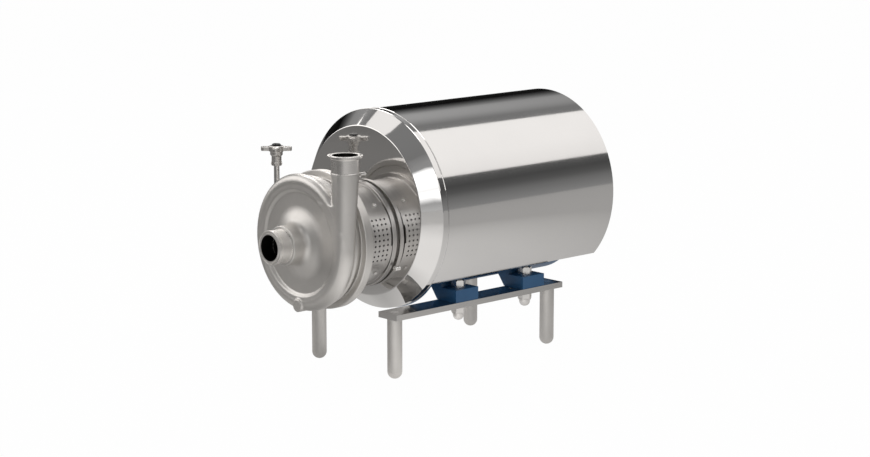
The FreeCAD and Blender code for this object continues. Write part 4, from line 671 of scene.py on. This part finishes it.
def cross_knob():
    """The knob with a chamfered collar, a hub and four arms with round ends, standing on the origin."""
    radius, height, chamfer = 0.01185, 0.0096, 0.0024
    collar = spun([(0, 0), (radius - chamfer, 0), (radius, chamfer), (radius, height), (0, height)])
    parts = [collar, disc(0.0140, 0.0090, 0.0194)]
    for turn in QUARTERS:
        arm = knob_arm()
        bmesh.ops.rotate(arm, verts=arm.verts, cent=(0, 0, 0), matrix=Matrix.Rotation(turn, 3, "Z"))
        parts.append(arm)
    return gathered(*parts)


def make_knob():
    """The cross knob as a soft-edged casting."""
    shape = recast(aimed(cross_knob(), (KNOB_X, KNOB_Y, KNOB_FOOT)), 0.0007, 7)
    settle(shape, "cross_knob", "knob_steel", "polished_steel", "screw_knob", "star_knob", sharp=60.0)


def make_sleeve():
    """The sleeve under the knob, and the heads of the four pins through it."""
    sleeve_radius, pin_height = 0.00835, 0.384
    pin_outline = [(0, 0), (0.0032, 0), (0.0032, 0.0012), (0.0026, 0.0019), (0, 0.0019)]
    pins = []
    for turn in QUARTERS:
        across, along = math.cos(turn), math.sin(turn)
        place = (KNOB_X + sleeve_radius * across, KNOB_Y + sleeve_radius * along, pin_height)
        pins.append(aimed(spun(pin_outline, 32), place, (across, along, 0)))
    settle(gathered(*pins), "pin_heads", "knob_steel", "polished_steel", "screw_knob", "sleeve_pins")
    settle(rounded(copied("knob_sleeve"), 0.0004, 60.0), "sleeve_body", "knob_steel", "polished_steel",
           "screw_knob", "knob_sleeve")


def make_bars():
    """The two flat bars with their edges broken."""
    for side in ("near", "far"):
        node = "base_bar_" + side
        settle(rounded(copied(node), 0.0007), "flat_bar_" + side, "bar_steel", "satin_steel", "root", node)


def on_hood_bends(edge):
    """Whether an edge lies on the outside of the hood's two bends."""
    face_radius, lip_radius, lip_x = 0.1597, 0.1887, -0.1008
    for corner in edge.verts:
        across = math.hypot(corner.co.y, corner.co.z - SHROUD_HEIGHT)
        on_face = abs(corner.co.x - HOOD_FACE_X) < 0.0003 and abs(across - face_radius) < 0.0004
        on_lip = corner.co.x < lip_x and abs(across - lip_radius) < 0.0004
        if not (on_face or on_lip):
            return False
    return True


def make_hood():
    """The hood with its pressed bends, its rolled rear edge, and behind it a thin black ring painted in as
    the shade in the gap between lip and shell.
    """
    settle(rounded(copied("hood"), 0.0013, 25.0, 3, on_hood_bends), "pressed_hood", "hood_steel",
           "polished_steel", "root", "hood", sharp=25.0)
    roll = aimed(bead(0.1886, 0.0009, 0.0009, 8, 160), (-0.0884, 0, SHROUD_HEIGHT), (1, 0, 0))
    settle(roll, "rolled_edge", "hood_steel", "polished_steel", "root")
    # painted shade: a thin black ring stands for the shaded gap between the hood's lip and the shell
    inner, outer, width = 0.1868, 0.1880, 0.0013
    gap_shade = spun([(inner, 0), (outer, 0), (outer, width), (inner, width)], 160, closed=True)
    settle(aimed(gap_shade, (-0.0875, 0, SHROUD_HEIGHT), (1, 0, 0)), "gap_shade_ring", "black_rubber",
           "black_rubber", "root")


def make_clamp():
    """The clamp ring with its edges rounded by tumbling."""
    settle(rounded(copied("clamp_ring"), 0.0009), "ring_clamp", "clamp_steel", "brushed_steel", "root",
           "clamp_ring")


def soft_box(name, centre, aim, size, radiance, roll=0.0):
    """A flat lamp whose face shines evenly with the given radiance."""
    width, height = size
    data = bpy.data.lights.new(name, "AREA")
    data.shape = "RECTANGLE"
    data.size = width
    data.size_y = height
    data.energy = math.pi * width * height * radiance
    data.color = (1.0, 0.975, 0.955)
    lamp = bpy.data.objects.new(name, data)
    lamp.location = centre
    facing = (Vector(aim) - Vector(centre)).to_track_quat("-Z", "Y")
    lamp.rotation_euler = (facing @ Quaternion((0, 0, 1), roll)).to_euler()
    lamp.visible_camera = False
    bpy.context.scene.collection.objects.link(lamp)


def along(tree, place, direction, start, end, at_start, at_end):
    """A value that changes with how far a place, or the end of a view's arrow, lies along a direction."""
    reach = vector_maths(tree, "DOT_PRODUCT", place, direction)
    return ranged(tree, reach, start, end, at_start, at_end)


def room_tones(tree, height):
    """Grey levels of the room by how high a view looks: 0 is level and 1 is straight up."""
    levels = ((0.13, 0.17), (0.21, 0.10), (0.30, 0.07), (0.42, 0.11), (0.62, 0.20))
    end_level = 0.24
    room = add(tree, "ShaderNodeValToRGB", _0=height)
    ramp = room.color_ramp
    for stop in ramp.elements:
        stop.color = (end_level, end_level, end_level, 1)
    for position, level in levels:
        ramp.elements.new(position).color = (level, level, level, 1)
    return room.outputs[0]


def make_world():
    """A grey room with a bright window ahead, for light and reflections, and white to the camera."""
    world = bpy.data.worlds.new("studio")
    tree = cleared(world)
    toward = tree.nodes.new("ShaderNodeTexCoord").outputs["Generated"]
    height = add(tree, "ShaderNodeSeparateXYZ", _0=toward).outputs["Z"]
    window = maths(tree, "MULTIPLY", along(tree, toward, (-0.725, -0.59, 0.35), 0.957, 0.989, 0, 15),
                   ranged(tree, height, 0.10, 0.21, 0, 1))
    wall_ahead = along(tree, toward, (-0.69, -0.70, 0.18), 0.76, 0.95, 1.0, 2.2)
    rear_glow = along(tree, toward, (0.44, 0.78, 0.44), 0.80, 0.93, 0.0, 1.3)
    rear_shade = along(tree, toward, (0.50, 0.86, 0.10), 0.85, 0.95, 1.0, 0.02)
    lift = maths(tree, "ADD", maths(tree, "ADD", wall_ahead, window), rear_glow)
    lit = add(tree, "ShaderNodeVectorMath", {"operation": "SCALE"}, _0=room_tones(tree, height),
              Scale=maths(tree, "MULTIPLY", rear_shade, lift)).outputs[0]
    seen = tree.nodes.new("ShaderNodeLightPath").outputs["Is Camera Ray"]
    background = add(tree, "ShaderNodeBackground", Color=mixed(tree, seen, lit, (1, 1, 1, 1)))
    out = tree.nodes.new("ShaderNodeOutputWorld")
    tree.links.new(background.outputs[0], out.inputs["Surface"])
    bpy.context.scene.world = world


def floor_glow(tree):
    """How brightly the floor glows to all but the camera, lighting the pump though it is no lamp: a painted
    pool of light before the pump, painted shadow under it and dimmer far left.
    """
    place = tree.nodes.new("ShaderNodeTexCoord").outputs["Object"]
    away = vector_maths(tree, "DISTANCE", place, (-0.35, -0.35, 0.0))
    beneath = vector_maths(tree, "DISTANCE", place, (-0.30, 0.02, 0.0))
    heading = vector_maths(tree, "NORMALIZE", place)
    pool = maths(tree, "ADD", ranged(tree, away, 0.2, 1.2, 0.67, 0.31),
                 along(tree, heading, (-0.72, -0.69, 0.0), 0.5, 1.0, 0.0, 0.15))
    # painted shadow under the pump, and dimmer towards the far left
    shaded = maths(tree, "MULTIPLY", along(tree, place, (-0.65, 0.75, 0.0), 0.0, 1.1, 1.0, 0.20),
                   ranged(tree, beneath, 0.03, 0.25, 0.35, 1.0))
    return maths(tree, "MULTIPLY", pool, shaded)


def make_floor():
    """A pale round floor that keeps a faint shadow and melts into the white background. To all other rays
    it glows with painted light.
    """
    whiteness, camera_white = 0.94, 1.05
    material = bpy.data.materials.new("pale_floor")
    tree = cleared(material)
    diffuse = add(tree, "ShaderNodeBsdfDiffuse", Color=(0.13, 0.129, 0.127, 1)).outputs[0]
    # painted light: the floor glows for all but camera rays, in reflections and on the pump
    pale = add(tree, "ShaderNodeEmission", Color=(1, 0.985, 0.97, 1), Strength=floor_glow(tree))
    reflected = add(tree, "ShaderNodeAddShader", _0=diffuse, _1=pale.outputs[0])
    white = add(tree, "ShaderNodeEmission", Color=(1, 1, 1, 1), Strength=camera_white)
    faint = add(tree, "ShaderNodeMixShader", _0=whiteness, _1=diffuse, _2=white.outputs[0])
    seen = tree.nodes.new("ShaderNodeLightPath").outputs["Is Camera Ray"]
    surface = add(tree, "ShaderNodeMixShader", _0=seen, _1=reflected.outputs[0], _2=faint.outputs[0])
    out = tree.nodes.new("ShaderNodeOutputMaterial")
    tree.links.new(surface.outputs[0], out.inputs["Surface"])
    shape = bmesh.new()
    bmesh.ops.create_circle(shape, cap_ends=True, segments=96, radius=14.0)
    finished(shape, "floor", material)


def make_lamps():
    """The soft boxes round the pump."""
    pump = (0, 0, 0.3)
    hood = (-0.2, 0, 0.3)
    casing = (-0.3, 0, 0.3)
    clamp_top = (-0.25, -0.02, 0.387)
    beside_pump = (4.3, 0.09, 0.3)
    soft_box("side_box", (4.3, -2.45, 6.18), beside_pump, size=(10.6, 7.85), radiance=0.84, roll=0.02)
    soft_box("back_box", (-1.1, 1.7, 3.2), pump, size=(1.6, 1.3), radiance=0.82)
    soft_box("left_box", (-2.1, 2.25, 1.70), hood, size=(3.8, 2.3), radiance=1.45)
    soft_box("top_box", (1.35, 2.5, 3.3), hood, size=(1.4, 1.5), radiance=5.0)
    soft_box("near_box", (-0.1, -2.3, 1.5), casing, size=(0.9, 0.7), radiance=1.6)
    soft_box("over_box", (0.3, -0.25, 3.2), casing, size=(1.2, 0.8), radiance=2.5)
    soft_box("rear_box", (0.13, 0.40, 0.59), clamp_top, size=(0.16, 0.20), radiance=1.6)


bpy.context.scene.view_settings.view_transform = "Standard"
make_camera()
make_finishes()
dress_nodes()
make_casing()
make_ferrules()
make_welds()
make_hood()
make_hood_screws()
make_guard_screws()
make_foot_fasteners()
make_knob()
make_sleeve()
make_bars()
make_clamp()
make_world()
make_floor()
make_lamps()
